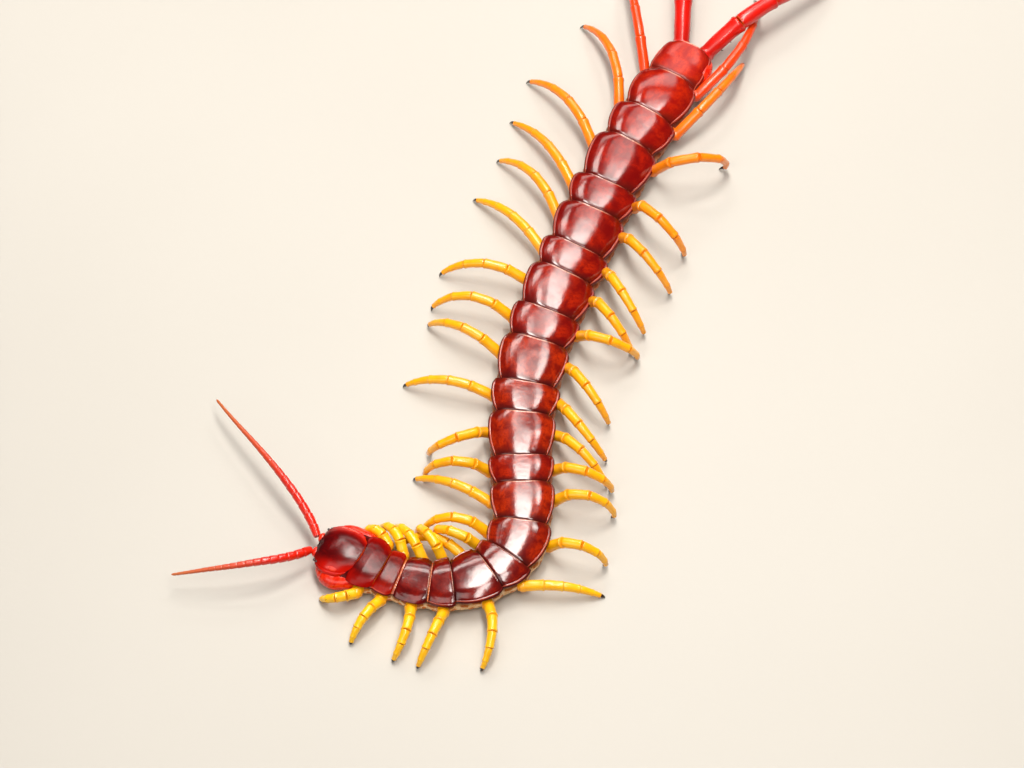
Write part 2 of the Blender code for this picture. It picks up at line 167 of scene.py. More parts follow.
# Two plates have a beaded strip in front of them. This is how far it shows.
REVEALED_FRONTS = {3: 0.5, 4: 0.4}
SWELL = 0.05
WAVINESS = 0.015
WAVE_LENGTH = 3.0
FRONT_ROWS = (-0.7, 1.2)
REAR_ROWS = 0.9
STRIP_REACH = 0.93
STRIP_WIDTH = 0.88
STRIP_DROP = 0.36
STRIP_THICKNESS = 0.2
BEADS = 52
BEAD_HEIGHT = 0.05

# The colours of the plates, by how far back a plate is. A higher tone is redder.
PLATE_TONE_KEYS = (
    (1, 0.04), (2, 0.3), (3, 0.22), (4, 0.28), (5, 0.3), (7, 0.42), (8, 0.5), (9, 0.62), (10, 0.5),
    (12, 0.52), (13, 0.66), (15, 0.66), (18, 0.76), (20, 0.88), (21, 1.0),
)
PLATE_DEEP = (
    (0.0, (0.07, 0.0005, 0.001)), (0.3, (0.09, 0.0008, 0.0006)), (0.5, (0.13, 0.0018, 0.0006)),
    (0.75, (0.15, 0.001, 0.0006)), (1.0, (0.34, 0.004, 0.001)),
)
PLATE_WARM = (
    (0.0, (0.17, 0.001, 0.001)), (0.3, (0.22, 0.006, 0.0008)), (0.5, (0.40, 0.023, 0.0008)),
    (0.75, (0.34, 0.008, 0.0008)), (1.0, (0.60, 0.026, 0.001)),
)
# Dark colours: the plates' dark outer rim, and painted shade at their tucked fronts and overlapping
# corners.
PLATE_DARK_AND_SHADE = (
    (0.0, (0.02, 0.001, 0.002)), (0.5, (0.045, 0.003, 0.003)), (1.0, (0.12, 0.005, 0.002)),
)
PLATE_GRAIN = (7.0, 8.0, 50.0)
MARGIN_RED = (0.62, 0.006, 0.001)
# Painted shade: the side margins of the redder rear plates are darker.
PAINTED_MARGIN_SHADE = (0.13, 0.001, 0.001)
# A painted highlight: a pale line along the rear rim in the middle of each plate.
PAINTED_RIM_GLINT = (0.74, 0.36, 0.24)
# The marginal ridge: its own lighter colour with a painted highlight.
RIDGE_COLOUR_AND_HIGHLIGHT = (0.62, 0.11, 0.06)

# The soft skin: half of its cross section, in half widths and in heights of the trunk.
SKIN_OUTLINE = (
    (0.0, 0.88), (0.35, 0.86), (0.58, 0.78), (0.68, 0.69), (0.73, 0.61), (0.82, 0.53),
    (0.90, 0.43), (0.91, 0.31), (0.86, 0.19), (0.76, 0.09), (0.62, 0.02), (0.3, 0.0), (0.0, 0.0),
)
SKIN_STEP = 0.25
SKIN_COLUMNS = 128
SKIN_INSIDE_HEAD = 2.5
SKIN_SHORT_OF_REAR = 0.6
FOLD_LENGTH = 1.2
FOLD_DEPTH = 0.22
WRINKLE_LENGTH = 0.5
WRINKLE_DEPTH = 0.09
SKIN_COLOURS = {
    "cream": (0.80, 0.58, 0.34), "amber": (0.64, 0.32, 0.10), "brown": (0.40, 0.15, 0.04),
    "plate": (0.62, 0.20, 0.015), "dark plate": (0.40, 0.08, 0.01), "behind": (0.26, 0.05, 0.012),
    # Painted shade: the skin under the back and the inside of the breathing holes.
    "shade under the back": (0.15, 0.016, 0.005), "hole": (0.02, 0.008, 0.005),
}

# Shapes in the flank: the mound round a leg (half length, half height, rise), the fold between two
# segments (place, width, depth) and a breathing hole (place, height, half length, half height).
LEG_MOUND = (1.7, 1.5, 0.45)
JOINT_FOLD = (0.02, 0.8, 0.35)
SPIRACLE_SEGMENTS = (3, 5, 8, 10, 12, 14, 16, 18, 20)
SPIRACLE = (0.6, 0.47, 0.55, 0.26)
SPIRACLE_DEPTH = 0.3
SPIRACLE_RIM = 0.16
FLANK_PLATE_RISE = 0.14
# Little plates in the flank of each segment: place along it, height, half length and half height.
FLANK_PLATES = (
    (0.18, 0.47, 0.75, 0.32), (0.42, 0.50, 0.9, 0.32), (0.84, 0.47, 0.8, 0.34),
    (0.30, 0.31, 0.55, 0.5), (0.95, 0.32, 0.5, 0.55),
)

# The belly plates, in millimetres and in shares of their width.
BELLY_PLATE_WIDTH = 0.6
BELLY_PLATE_THICKNESS = 0.35
BELLY_BULGE = 0.22
BELLY_GROOVE_DEPTH = 0.07
BELLY_GROOVE_PLACE = 0.36
BELLY_GROOVE_WIDTH = 0.04
BELLY_TAPER = ((0.0, 0.86), (0.1, 0.96), (0.35, 1.0), (0.8, 0.93), (1.0, 0.8))

# The joints of the legs.
ARTICLE_ROWS = (
    0.0, 0.02, 0.05, 0.1, 0.17, 0.26, 0.36, 0.47, 0.58, 0.69, 0.79, 0.86, 0.91, 0.95, 0.975, 0.99, 1.0,
)
ARTICLE_SHAPE = (
    (0.0, 0.88), (0.04, 0.93), (0.15, 0.97), (0.4, 1.0), (0.7, 0.98), (0.85, 1.02),
    (0.93, 1.08), (0.975, 1.07), (1.0, 0.94),
)
ARTICLE_COLUMNS = 28
JOINT_OVERLAP = 0.16
ROOT_SCALE = 1.2
HIP_SCALE = 1.06
SPOT_SIZE = (0.13, 0.10, 0.07)
ARTICLE_BOW = 0.022
LEG_TONE_KEYS = (
    (1, 0.0), (5, 0.06), (8, 0.18), (15, 0.25), (17, 0.38), (18, 0.45), (19, 0.55), (20, 0.75),
)
LEG_COLOURS = (
    (0.0, (0.95, 0.52, 0.004)), (0.25, (0.96, 0.40, 0.002)), (0.5, (0.94, 0.21, 0.002)),
    (0.75, (0.82, 0.05, 0.002)), (1.0, (0.66, 0.006, 0.001)),
)
LEG_SHADES = (
    (0.0, (0.90, 0.34, 0.002)), (0.3, (0.86, 0.24, 0.001)), (0.6, (0.74, 0.07, 0.001)),
    (1.0, (0.40, 0.003, 0.001)),
)
JOINT_LINE_COLOUR = (0.5, 0.12, 0.003)
BLACK = (0.012, 0.006, 0.004)
CLAW_SHAPE = ((0.0, 1.0), (0.3, 0.86), (0.6, 0.6), (0.85, 0.34), (1.0, 0.12))
CLAW_ROWS = (0.0, 0.1, 0.25, 0.4, 0.55, 0.7, 0.82, 0.92, 1.0)
SPINE_SHAPE = ((0.0, 1.0), (0.35, 0.8), (0.7, 0.45), (0.92, 0.16), (1.0, 0.05))
SPINE_ROWS = (0.0, 0.35, 0.7, 0.92, 1.0)
CLAW_LIFT = 0.03
CLAW_SPUR_RADIUS = 0.1
LAST_LEG_SPINES = (
    (0.3, 115), (0.55, 140), (0.8, 165), (0.35, 205), (0.65, 225), (0.9, 60), (0.9, 300), (0.96, 20),
)
LAST_LEG_SPINE_RADIUS = 0.17

# The head plate: half its width, its crown and its margin at places behind the head's front.
HEAD_WIDTHS = (
    (0.1, 1.6), (0.35, 2.9), (0.9, 4.2), (2.2, 5.5), (3.6, 6.15), (5.0, 6.3),
    (6.6, 6.15), (8.0, 5.6), (9.0, 4.9), (9.6, 4.3), (9.95, 3.6),
)
HEAD_CROWN = ((0.1, 5.2), (0.8, 6.0), (2.4, 6.9), (4.8, 7.55), (7.2, 7.6), (9.95, 7.2))
HEAD_MARGIN = ((0.1, 4.5), (0.8, 4.8), (2.4, 4.9), (4.8, 4.9), (7.2, 5.1), (9.95, 5.6))
ANTENNA_SOCKET = (0.25, 1.85, 4.5)
ANTENNA_SOCKET_RADII = (0.85, 1.25, 1.05)
EYES_PLACE = (1.4, 4.4, 4.95)
EYES_TURN = 28.0
OCELLI = ((-0.42, 0.05, 0.32), (0.05, 0.28, 0.28), (0.08, -0.30, 0.30), (0.55, 0.0, 0.34))

ANTENNA_ARTICLES = 19
ROWS_PER_ARTICLE = 9
ARTICLE_TUCK = 0.003
ANTENNA_STEPS = 140
ANTENNA_COLOURS = (
    (0.0, (0.74, 0.014, 0.002)), (0.35, (0.62, 0.012, 0.004)), (1.0, (0.50, 0.11, 0.02)),
)
ANTENNA_JOINT_COLOUR = (0.14, 0.006, 0.002)
ANTENNA_HAIR_COLOUR = (0.42, 0.14, 0.04)

# The camera: the photo's viewing angle, and the point of the floor in the middle of its frame.
CAMERA_ELEVATION = 57.0
CAMERA_DISTANCE = 1.0
CAMERA_LENS = 158.4
SENSOR_WIDTH = 36.0
CAMERA_NEAREST = 0.05
VIEW_CENTRE = (-1.65, -28.65)

# The light boxes overhead, in metres: their reach in x, their reach in y and how bright they are.
PANEL_HEIGHT = 0.55
PANELS = (
    ("low", (-0.25, -0.02), (-0.42, -0.20), 3.0),
    ("nearer", (0.06, 0.13), (-0.40, -0.02), 20.0),
    ("near", (-0.05, 0.07), (-0.02, 0.24), 27.0),
    ("overhead", (-0.04, 0.10), (0.24, 0.288), 10.0),
    ("far", (0.11, 0.15), (0.25, 0.30), 9.0),
    ("far_white", (0.16, 0.28), (0.24, 0.288), 25.0),
    ("far_milky", (0.16, 0.29), (0.288, 0.345), 8.0),
    ("tail", (0.10, 0.29), (0.36, 0.45), 3.0),
    ("end", (-0.20, 0.34), (0.56, 0.80), 4.0),
    ("left", (-0.24, -0.02), (0.34, 0.47), 11.0),
    ("left_far", (-0.42, -0.28), (0.35, 0.46), 2.5),
)
FRONT_PLACE = (-0.70, -0.75, 0.85)
FRONT_SIZE = (0.70, 0.70)
FRONT_BRIGHTNESS = 2.3
PANEL_COLOUR = (1.0, 0.97, 0.91)
WORLD_BRIGHTNESS = 0.06
FLOOR_REACH = 3.0
FLOOR_COLOURS = ((0.52, 0.49, 0.45), (0.55, 0.52, 0.48))

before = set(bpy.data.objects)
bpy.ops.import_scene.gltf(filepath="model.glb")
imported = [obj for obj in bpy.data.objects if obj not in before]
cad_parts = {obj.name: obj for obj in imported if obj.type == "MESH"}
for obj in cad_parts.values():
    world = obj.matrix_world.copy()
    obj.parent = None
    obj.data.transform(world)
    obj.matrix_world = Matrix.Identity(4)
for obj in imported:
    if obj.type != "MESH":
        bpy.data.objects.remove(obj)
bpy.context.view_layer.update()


def interpolate(keys, values):
    """The values that go with these on straight lines through (place, value) keys."""
    places, heights = zip(*keys)
    return np.interp(values, places, heights)


def smooth_keys(keys, values):
    """The same, along a curve with no corners through the keys."""
    places, heights = (np.array(column, float) for column in zip(*keys))
    slopes = np.gradient(heights, places)
    values = np.clip(values, places[0], places[-1])
    index = np.clip(np.searchsorted(places, values) - 1, 0, len(places) - 2)
    span = places[index + 1] - places[index]
    share = (values - places[index]) / span
    rise = heights[index + 1] - heights[index]
    start = slopes[index] * span
    end = slopes[index + 1] * span
    curve = (start + end - 2 * rise) * share + (3 * rise - 2 * start - end)
    return heights[index] + share * (start + share * curve)


def smooth_route(points, count):
    """This many points along a smooth curve through a few, and their shares of its length."""
    keys = np.linspace(0.0, 1.0, len(points))
    fine = np.linspace(0.0, 1.0, count)
    columns = [smooth_keys(tuple(zip(keys, column)), fine) for column in zip(*points)]
    return np.stack(columns, axis=-1), fine


def bump_at(values, centre, width):
    """A smooth hump of height 1 at the centre."""
    return np.exp(-(((values - centre) / width) ** 2))


def fall(values, slope):
    """1 at 0 and below, and soon 0 above it."""
    return np.exp(-np.clip(values, 0.0, None) / slope)


def runs(*starts, end):
    """Places in even runs up to the end, each run given by its start and its number of steps."""
    stops = [start for start, _ in starts[1:]] + [end]
    parts = []
    for (start, count), stop in zip(starts, stops):
        parts.append(np.linspace(start, stop, count, endpoint=False))
    return np.concatenate([*parts, [end]])


def circle(count):
    """Angles evenly round a circle."""
    return np.linspace(0.0, 2 * math.pi, count, endpoint=False)


def rounded(values, power):
    """The values raised to this power, with their signs kept."""
    return np.sign(values) * np.abs(values) ** power


def unit(vector):
    """The vector at length 1."""
    return vector / np.linalg.norm(vector)


def square_to(tangent, over):
    """The direction nearest to over that is square to the tangent."""
    return unit(over - tangent * np.dot(over, tangent))


def walk(start, bearings, step):
    """The x and y along a path that takes one step along each bearing."""
    sides = np.cos(bearings[:-1]), np.sin(bearings[:-1])
    return [first + np.concatenate([[0.0], np.cumsum(side)]) * step for first, side in zip(start, sides)]


def ease(values, low, high):
    """0 below low and 1 above high, with a smooth rise between them."""
    share = np.clip((values - low) / (high - low), 0.0, 1.0)
    return share * share * (3 - 2 * share)


def segment_start(number):
    """How far the front of a segment is behind the front of the head."""
    return HEAD_LENGTH + sum(SEGMENT_LENGTHS[: number - 1])


def segment_middle(number):
    return segment_start(number) + SEGMENT_LENGTHS[number - 1] / 2


def axis_table():
    """Places along the axis of the body with their x, y and bearing towards the tail."""
    keys = [(HEAD_LENGTH / 2, HEAD_BEARING)]
    keys += [(segment_middle(number), SEGMENT_BEARINGS[number - 1]) for number in NUMBERS]
    places = np.arange(0.0, segment_start(SEGMENTS + 1) + 2 * AXIS_STEP, AXIS_STEP)
    bearings = np.radians(interpolate(keys, places + AXIS_STEP / 2))
    return places, *walk(HEAD_FRONT, bearings, AXIS_STEP), bearings


AXIS_PLACES, AXIS_X, AXIS_Y, AXIS_BEARINGS = axis_table()
BODY_END = segment_start(SEGMENTS + 1)


def on_body(along, left, up):
    """Points on the animal as an array of x, y and z. The axis goes on straight past its ends."""
    along, left, up = np.broadcast_arrays(*(np.asarray(item, float) for item in (along, left, up)))
    inside = np.clip(along, 0.0, BODY_END)
    beyond = along - inside
    bearing = np.interp(inside, AXIS_PLACES, AXIS_BEARINGS)
    x = np.interp(inside, AXIS_PLACES, AXIS_X) + beyond * np.cos(bearing) + left * np.sin(bearing)
    y = np.interp(inside, AXIS_PLACES, AXIS_Y) + beyond * np.sin(bearing) - left * np.cos(bearing)
    return np.stack([x, y, up], axis=-1)


def width_at(along):
    """The width of the trunk."""
    return smooth_keys([(segment_middle(number), width) for number, width in WIDTH_KEYS], along)


def height_at(along):
    """The height of the trunk, without what is under its belly."""
    return width_at(along) * HEIGHT_PER_WIDTH


def leg_place(number):
    """How far behind the head this leg leaves the flank."""
    return segment_start(number) + interpolate(LEG_PLACE_KEYS, number) * SEGMENT_LENGTHS[number - 1]


def waves(points, wave_length, offset=0.0):
    """Smooth noise between about -1 and 1 at each point."""
    flat = points.reshape(-1, 3) / wave_length + offset
    found = [noise.noise(Vector(point)) for point in flat]
    return np.array(found).reshape(points.shape[:-1])


def add_object(name, data):
    item = bpy.data.objects.new(name, data)
    bpy.context.scene.collection.objects.link(item)
    return item


class Build:
    """Gathers the rings of one piece, with the values that its materials read."""

    VALUES = ("across", "along", "tone")

    def __init__(self):
        self.points = []
        self.faces = []
        self.values = {name: [] for name in self.VALUES}
        self.count = 0

    def loft(self, rings, across=0.0, along=0.0, tone=0.0):
        """A closed solid through these rings of points."""
        rings = np.asarray(rings, float)
        rows, columns = rings.shape[:2]
        index = np.arange(rows * columns).reshape(rows, columns) + self.count
        beside = np.roll(index, -1, axis=1)
        quads = np.stack([index[:-1], beside[:-1], beside[1:], index[1:]], axis=-1)
        self.faces += quads.reshape(-1, 4).tolist()
        self.faces.append(index[0].tolist())
        self.faces.append(index[-1][::-1].tolist())
        for name, value in zip(self.VALUES, (across, along, tone)):
            self.values[name].append(np.broadcast_to(value, (rows, columns)).ravel())
        self.points.append(rings.reshape(-1, 3))
        self.count += rows * columns

    def slab(self, top, thickness, step, across=None, along=0.0):
        """A closed plate under this sheet. Its underside has one of every few columns."""
        under = top[:, ::-1][:, ::step].copy()
        under[..., 2] -= thickness
        across = 0.0 if across is None else np.concatenate([across, across[::-1][::step]])
        self.loft(np.concatenate([top, under], axis=1), across, along)

    def ball(self, centre, radii, turn=0.0, tone=0.0, rings=8, columns=14):
        """An ellipsoid with these radii along its turned x and y and along z."""
        polar = np.linspace(POLE_GAP, math.pi - POLE_GAP, rings)[:, None]
        x = np.sin(polar) * np.cos(circle(columns)) * radii[0]
        y = np.sin(polar) * np.sin(circle(columns)) * radii[1]
        z = np.broadcast_to(np.cos(polar) * radii[2], x.shape)
        cos, sin = math.cos(turn), math.sin(turn)
        rotated = np.stack([x * cos - y * sin, x * sin + y * cos, z], axis=-1)
        self.loft(rotated + np.asarray(centre, float), along=0.5, tone=tone)

    def spine(self, base, tip, radius, tone=0.0):
        """A short pointed cone, such as a spur or a tooth."""
        over = np.array((0.0, 0.0, 1.0))
        if abs((tip - base)[2]) > 0.9 * np.linalg.norm(tip - base):
            over = np.array((1.0, 0.0, 0.0))
        rings, _ = article_rings(base, tip, over, (radius, radius), SPINE_SHAPE, SPINE_ROWS, 0.0)
        self.loft(rings[:, ::3], tone=tone)

    def piece(self, name, look, slot_name, replaced=(), sharp=45.0):
        """Turns what was gathered into a smooth piece of one material that rides on the body."""
        mesh = bpy.data.meshes.new(name)
        mesh.from_pydata((np.concatenate(self.points) * MM).tolist(), [], self.faces)
        for value_name, arrays in self.values.items():
            attribute = mesh.attributes.new(value_name, "FLOAT", "POINT")
            attribute.data.foreach_set("value", np.concatenate(arrays).astype(np.float32))
        shape = bmesh.new()
        shape.from_mesh(mesh)
        bmesh.ops.recalc_face_normals(shape, faces=shape.faces)
        shape.to_mesh(mesh)
        shape.free()
        mesh.shade_smooth()
        mesh.set_sharp_from_angle(angle=math.radians(sharp))
        mesh.materials.append(MATERIALS[look])
        piece = add_object(name, mesh)
        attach(piece, ROOT)
        if replaced:
            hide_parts(*replaced)


class Surface:
    """Builds one procedural material out of a few kinds of node.

    A step is written as its source, where it starts and ends, and its values before and after.
    """

    def __init__(self, name, roughness, coat=0.0, coat_roughness=0.08, specular=0.35):
        self.material = bpy.data.materials.new(name)
        self.material.use_nodes = True
        self.nodes = self.material.node_tree.nodes
        self.links = self.material.node_tree.links
        self.shader = self.nodes["Principled BSDF"]
        self.shader.inputs["Roughness"].default_value = roughness
        self.shader.inputs["Coat Weight"].default_value = coat
        self.shader.inputs["Coat Roughness"].default_value = coat_roughness
        self.shader.inputs["Coat IOR"].default_value = COAT_IOR
        self.shader.inputs["Specular IOR Level"].default_value = specular
        metres = self.add("TexCoord", {}, "Object")
        self.place = self.add("VectorMath", {0: metres, "Scale": 1 / MM}, "Vector", operation="SCALE")
        self.colour = None

    def add(self, kind, inputs, output, **settings):
        """Adds a node and gives one of its outputs. Inputs are sockets, numbers or colours."""
        node = self.nodes.new(f"ShaderNode{kind}")
        for name, value in settings.items():
            setattr(node, name, value)
        for name, value in inputs.items():
            if isinstance(value, bpy.types.NodeSocket):
                self.links.new(value, node.inputs[name])
            elif isinstance(value, tuple):
                node.inputs[name].default_value = (*value, 1.0)
            else:
                node.inputs[name].default_value = value
        return node.outputs[output]

    def value(self, name):
        return self.add("Attribute", {}, "Fac", attribute_name=name)

    def sheet(self, sizes):
        """Places on a plate that run along it, whatever way the body bends there."""
        values = [self.value(name) for name in Build.VALUES]
        scaled = [self.math("MULTIPLY", value, size) for value, size in zip(values, sizes)]
        return self.add("CombineXYZ", dict(enumerate(scaled)), "Vector")

    def noise(self, per_mm, detail=3.0, distortion=0.0, place=None):
        sizes = {"Scale": per_mm, "Detail": detail, "Distortion": distortion}
        return self.add("TexNoise", {"Vector": place or self.place, **sizes}, "Fac")

    def cells(self, per_mm):
        return self.add("TexVoronoi", {"Vector": self.place, "Scale": per_mm}, "Distance")

    def math(self, kind, *values):
        return self.add("Math", dict(enumerate(values)), "Value", operation=kind)

    def step(self, source, low, high, to_low=0.0, to_high=1.0):
        """A smooth step from to_low where the source is low up to to_high where it is high."""
        limits = {"From Min": low, "From Max": high, "To Min": to_low, "To Max": to_high}
        return self.add("MapRange", {"Value": source, **limits}, "Result", interpolation_type="SMOOTHSTEP")

    def ramp(self, source, stops):
        colour = self.add("ValToRGB", {"Fac": source}, "Color")
        elements = colour.node.color_ramp.elements
        while len(elements) < len(stops):
            elements.new(0.5)
        for element, (place, colour_there) in zip(elements, stops):
            element.position = place
            element.color = (*colour_there, 1.0)
        return colour

    def mix(self, share, first, second):
        """Mixes two colours, each a socket or three numbers."""
        return self.add("Mix", {"Factor": share, 6: first, 7: second}, 2, data_type="RGBA")

    def steps(self, *parts):
        """Shares multiplied. Each is a socket, or the values of a smooth step."""
        shares = [self.step(*part) if isinstance(part, tuple) else part for part in parts]
        share = shares[0]
        for other in shares[1:]:
            share = self.math("MULTIPLY", share, other)
        return share

    def either(self, first, second):
        """The greater of two shares."""
        return self.math("MAXIMUM", self.steps(first), self.steps(second))

    def layer(self, colour, *parts):
        """Lays a colour over what is there, as far as the multiplied shares say."""
        self.colour = self.mix(self.steps(*parts), self.colour, colour)

    def finish(self, bumps, *roughness):
        """Links the colour, bumps of (height, depth in millimetres) and any step of roughness."""
        before = {}
        for height, depth in bumps:
            normal = self.add("Bump", {"Height": height, "Distance": depth * MM, **before}, "Normal")
            before = {"Normal": normal}
        results = {"Base Color": self.colour, "Normal": normal, "Coat Normal": normal}
        if roughness:
            results["Roughness"] = self.step(*roughness)
        for name, result in results.items():
            self.links.new(result, self.shader.inputs[name])
        return self.material


def plate_material(name, coat, coat_roughness, rear, rear_share, margin_red=0.0, front_shade_reach=0.15):
    """Glossy cuticle: maroon in front of the animal, mottled red brown, and orange red behind."""
    surface = Surface(name, 0.4, coat=coat, coat_roughness=coat_roughness, specular=0.0)
    side = surface.math("ABSOLUTE", surface.value("across"))
    along = surface.value("along")
    tone = surface.value("tone")
    deep, warm, dark = (surface.ramp(tone, stops) for stops in (PLATE_DEEP, PLATE_WARM, PLATE_DARK_AND_SHADE))
    place = surface.sheet(PLATE_GRAIN)
    fine = surface.noise(1.8, 6.0, 0.4, place)
    ridged = surface.step(tone, 0.22, 0.3)
    surface.colour = deep
    surface.layer(warm, (surface.noise(0.42, 6.0, 0.6, place), 0.3, 0.7), (fine, 0.3, 0.62, 0.35, 1.0))
    surface.layer(deep, (fine, 0.55, 0.8, 0.0, 0.35))
    if margin_red:
        surface.layer(MARGIN_RED, (side, 0.45, 0.95, 0.0, margin_red))
    # Painted shade on the side margins of the rear plates.
    surface.layer(PAINTED_MARGIN_SHADE, (side, 0.5, 0.9, 0.0, 0.55), (tone, 0.55, 0.68))
    # Painted shade at the front of each plate, where it tucks under the one before, and at the front of
    # the head.
    surface.layer(dark, (along, front_shade_reach, 0.0, 0.0, 0.8))
    if not margin_red:
        # Painted shade in the rear corners and front shoulders, where the plates overlap.
        corner = surface.steps((along, 0.78, 0.97), (side, 0.35, 0.8, 0.0, 0.7))
        shoulder = surface.steps((along, 0.22, 0.08), (side, 0.35, 0.8, 0.0, 0.6))
        surface.layer(dark, surface.either(corner, shoulder), (fine, 0.2, 0.55, 0.4, 1.0))
        # A painted highlight along the middle of the rear rim.
        rim_glint = surface.steps((along, 0.955, 0.968), (side, 0.7, 0.3, 0.0, 0.55))
        surface.layer(PAINTED_RIM_GLINT, rim_glint, (fine, 0.25, 0.55, 0.2, 1.0))
    # The rear edge: on the back plates a near black line, painted shadow of the gap behind the edge; on
    # the others the edge's own orange.
    surface.layer(rear, (along, 0.98, 0.992, 0.0, rear_share))
    surface.layer(dark, (side, 0.955, 0.975, 0.0, 0.7), ridged)
    # The ridge line: its own lighter colour with a painted highlight.
    ridge = surface.steps((side, 0.925, 0.938, 0.0, 0.6), (side, 0.966, 0.953))
    surface.layer(RIDGE_COLOUR_AND_HIGHLIGHT, ridge, (along, 0.92, 0.5, 0.15, 1.0), ridged)
    bumps = ((surface.noise(0.8, 4.0, 0.3, place), 0.018), (surface.noise(5.0, 4.0), 0.004))
    return surface.finish(bumps, surface.noise(0.6, 5.0, 0.5), 0.3, 0.7, 0.32, 0.46)


def leg_material():
    """Amber cuticle whose tone runs from lemon in front to red behind."""
    surface = Surface("leg_cuticle", 0.36, coat=0.5, coat_roughness=0.15)
    tone = surface.value("tone")
    outward = surface.value("across")
    along = surface.value("along")
    shade = surface.ramp(tone, LEG_SHADES)
    clouds = surface.noise(0.6, 4.0, 0.4)
    surface.colour = surface.ramp(tone, LEG_COLOURS)
    surface.layer(shade, (clouds, 0.45, 0.75, 0.0, 0.45))
    surface.layer(shade, (outward, 0.68, 1.0, 0.0, 0.7))
    surface.layer(shade, (outward, 0.1, 0.0, 0.0, 0.6))
    ring = surface.either((along, 0.9, 0.97), (along, 0.12, 0.04))
    surface.layer(shade, ring, (clouds, 0.3, 0.6, 0.1, 0.35))
    line = surface.either((along, 0.985, 0.998), (along, 0.03, 0.01))
    surface.layer(JOINT_LINE_COLOUR, surface.math("MULTIPLY", line, 0.35))
    bumps = ((surface.noise(0.9, 3.0), 0.02), (surface.noise(6.0, 3.0), 0.004))
    return surface.finish(bumps, surface.noise(1.2, 4.0), 0.3, 0.7, 0.28, 0.42)


def antenna_material():
    """Smooth bright red at the base and finely hairy, duller red beyond the first articles."""
    surface = Surface("antenna_cuticle", 0.38, coat=0.5, coat_roughness=0.16)
    outward = surface.value("across")
    along = surface.value("along")
    surface.colour = surface.ramp(outward, ANTENNA_COLOURS)
    ends = surface.either((along, 0.9, 1.0), (along, 0.08, 0.0))
    surface.layer(ANTENNA_JOINT_COLOUR, surface.math("MULTIPLY", ends, 0.25))
    speckle = surface.step(surface.noise(4.0, 4.0), 0.5, 0.7, 0.0, 0.4)
    surface.layer(ANTENNA_HAIR_COLOUR, speckle, (outward, 0.2, 0.5))
    return surface.finish([(surface.noise(6.0, 4.0), 0.015)], outward, 0.2, 0.5, 0.3, 0.5)


def skin_material():
    """Wrinkled skin: cream on the flanks with orange plates in it, and painted shade up between the
    plates.
    """
    surface = Surface("flank_skin", 0.5, coat=0.15, coat_roughness=0.3)
    tone = surface.value("tone")
    fine = surface.noise(2.2, 5.0)
    plates = surface.mix(
        surface.step(fine, 0.35, 0.7), SKIN_COLOURS["plate"], SKIN_COLOURS["dark plate"]
    )
    surface.colour = SKIN_COLOURS["cream"]
    surface.layer(SKIN_COLOURS["amber"], (surface.noise(0.5, 4.0, 0.5), 0.35, 0.7))
    surface.layer(SKIN_COLOURS["brown"], (fine, 0.5, 0.72, 0.0, 0.6))
    surface.layer(plates, (tone, 0.3, 0.75))
    surface.layer(SKIN_COLOURS["behind"], (surface.value("across"), 0.26, 0.34, 0.0, 0.8))
    # Painted shade on the skin high up, where it lies under the plates.
    surface.layer(SKIN_COLOURS["shade under the back"], (surface.value("along"), 0.42, 0.58))
    # Painted shade: the breathing holes are painted near black.
    surface.layer(SKIN_COLOURS["hole"], (tone, 1.2, 1.7))
    bumps = ((surface.noise(1.6, 5.0, 0.8), 0.12), (surface.cells(3.2), 0.035))
    return surface.finish(bumps, tone, 0.3, 0.8, 0.55, 0.35)


def belly_material():
    """The belly plates: glossy, brown orange, darker towards their rear."""
    surface = Surface("belly_cuticle", 0.34, coat=0.5)
    side = surface.math("ABSOLUTE", surface.value("across"))
    surface.colour = (0.42, 0.12, 0.02)
    surface.layer((0.27, 0.045, 0.012), (surface.noise(0.4, 4.0, 0.4), 0.35, 0.7))
    surface.layer((0.13, 0.02, 0.008), (surface.value("along"), 0.75, 1.0, 0.0, 0.7))
    surface.layer((0.55, 0.2, 0.04), (side, 0.6, 1.0, 0.0, 0.6))
    bumps = ((surface.noise(1.0, 4.0), 0.03), (surface.noise(6.0, 3.0), 0.005))
    return surface.finish(bumps, surface.noise(1.2, 4.0), 0.3, 0.7, 0.28, 0.42)


def plain_cuticle(name, deep, warm, roughness, per_mm=0.8, coat=0.7):
    """Cuticle of one colour with warmer clouds, for small parts. A high tone turns it black."""
    surface = Surface(name, roughness, coat=coat)
    clouds = surface.noise(per_mm, 4.0, 0.5)
    surface.colour = deep
    surface.layer(warm, (clouds, 0.4, 0.7))
    surface.layer(BLACK, (surface.value("tone"), 0.4, 0.9))
    bumps = ((surface.noise(1.2, 4.0), 0.025), (surface.noise(7.0, 3.0), 0.005))
    return surface.finish(bumps, clouds, 0.35, 0.7, roughness - 0.06, roughness + 0.08)


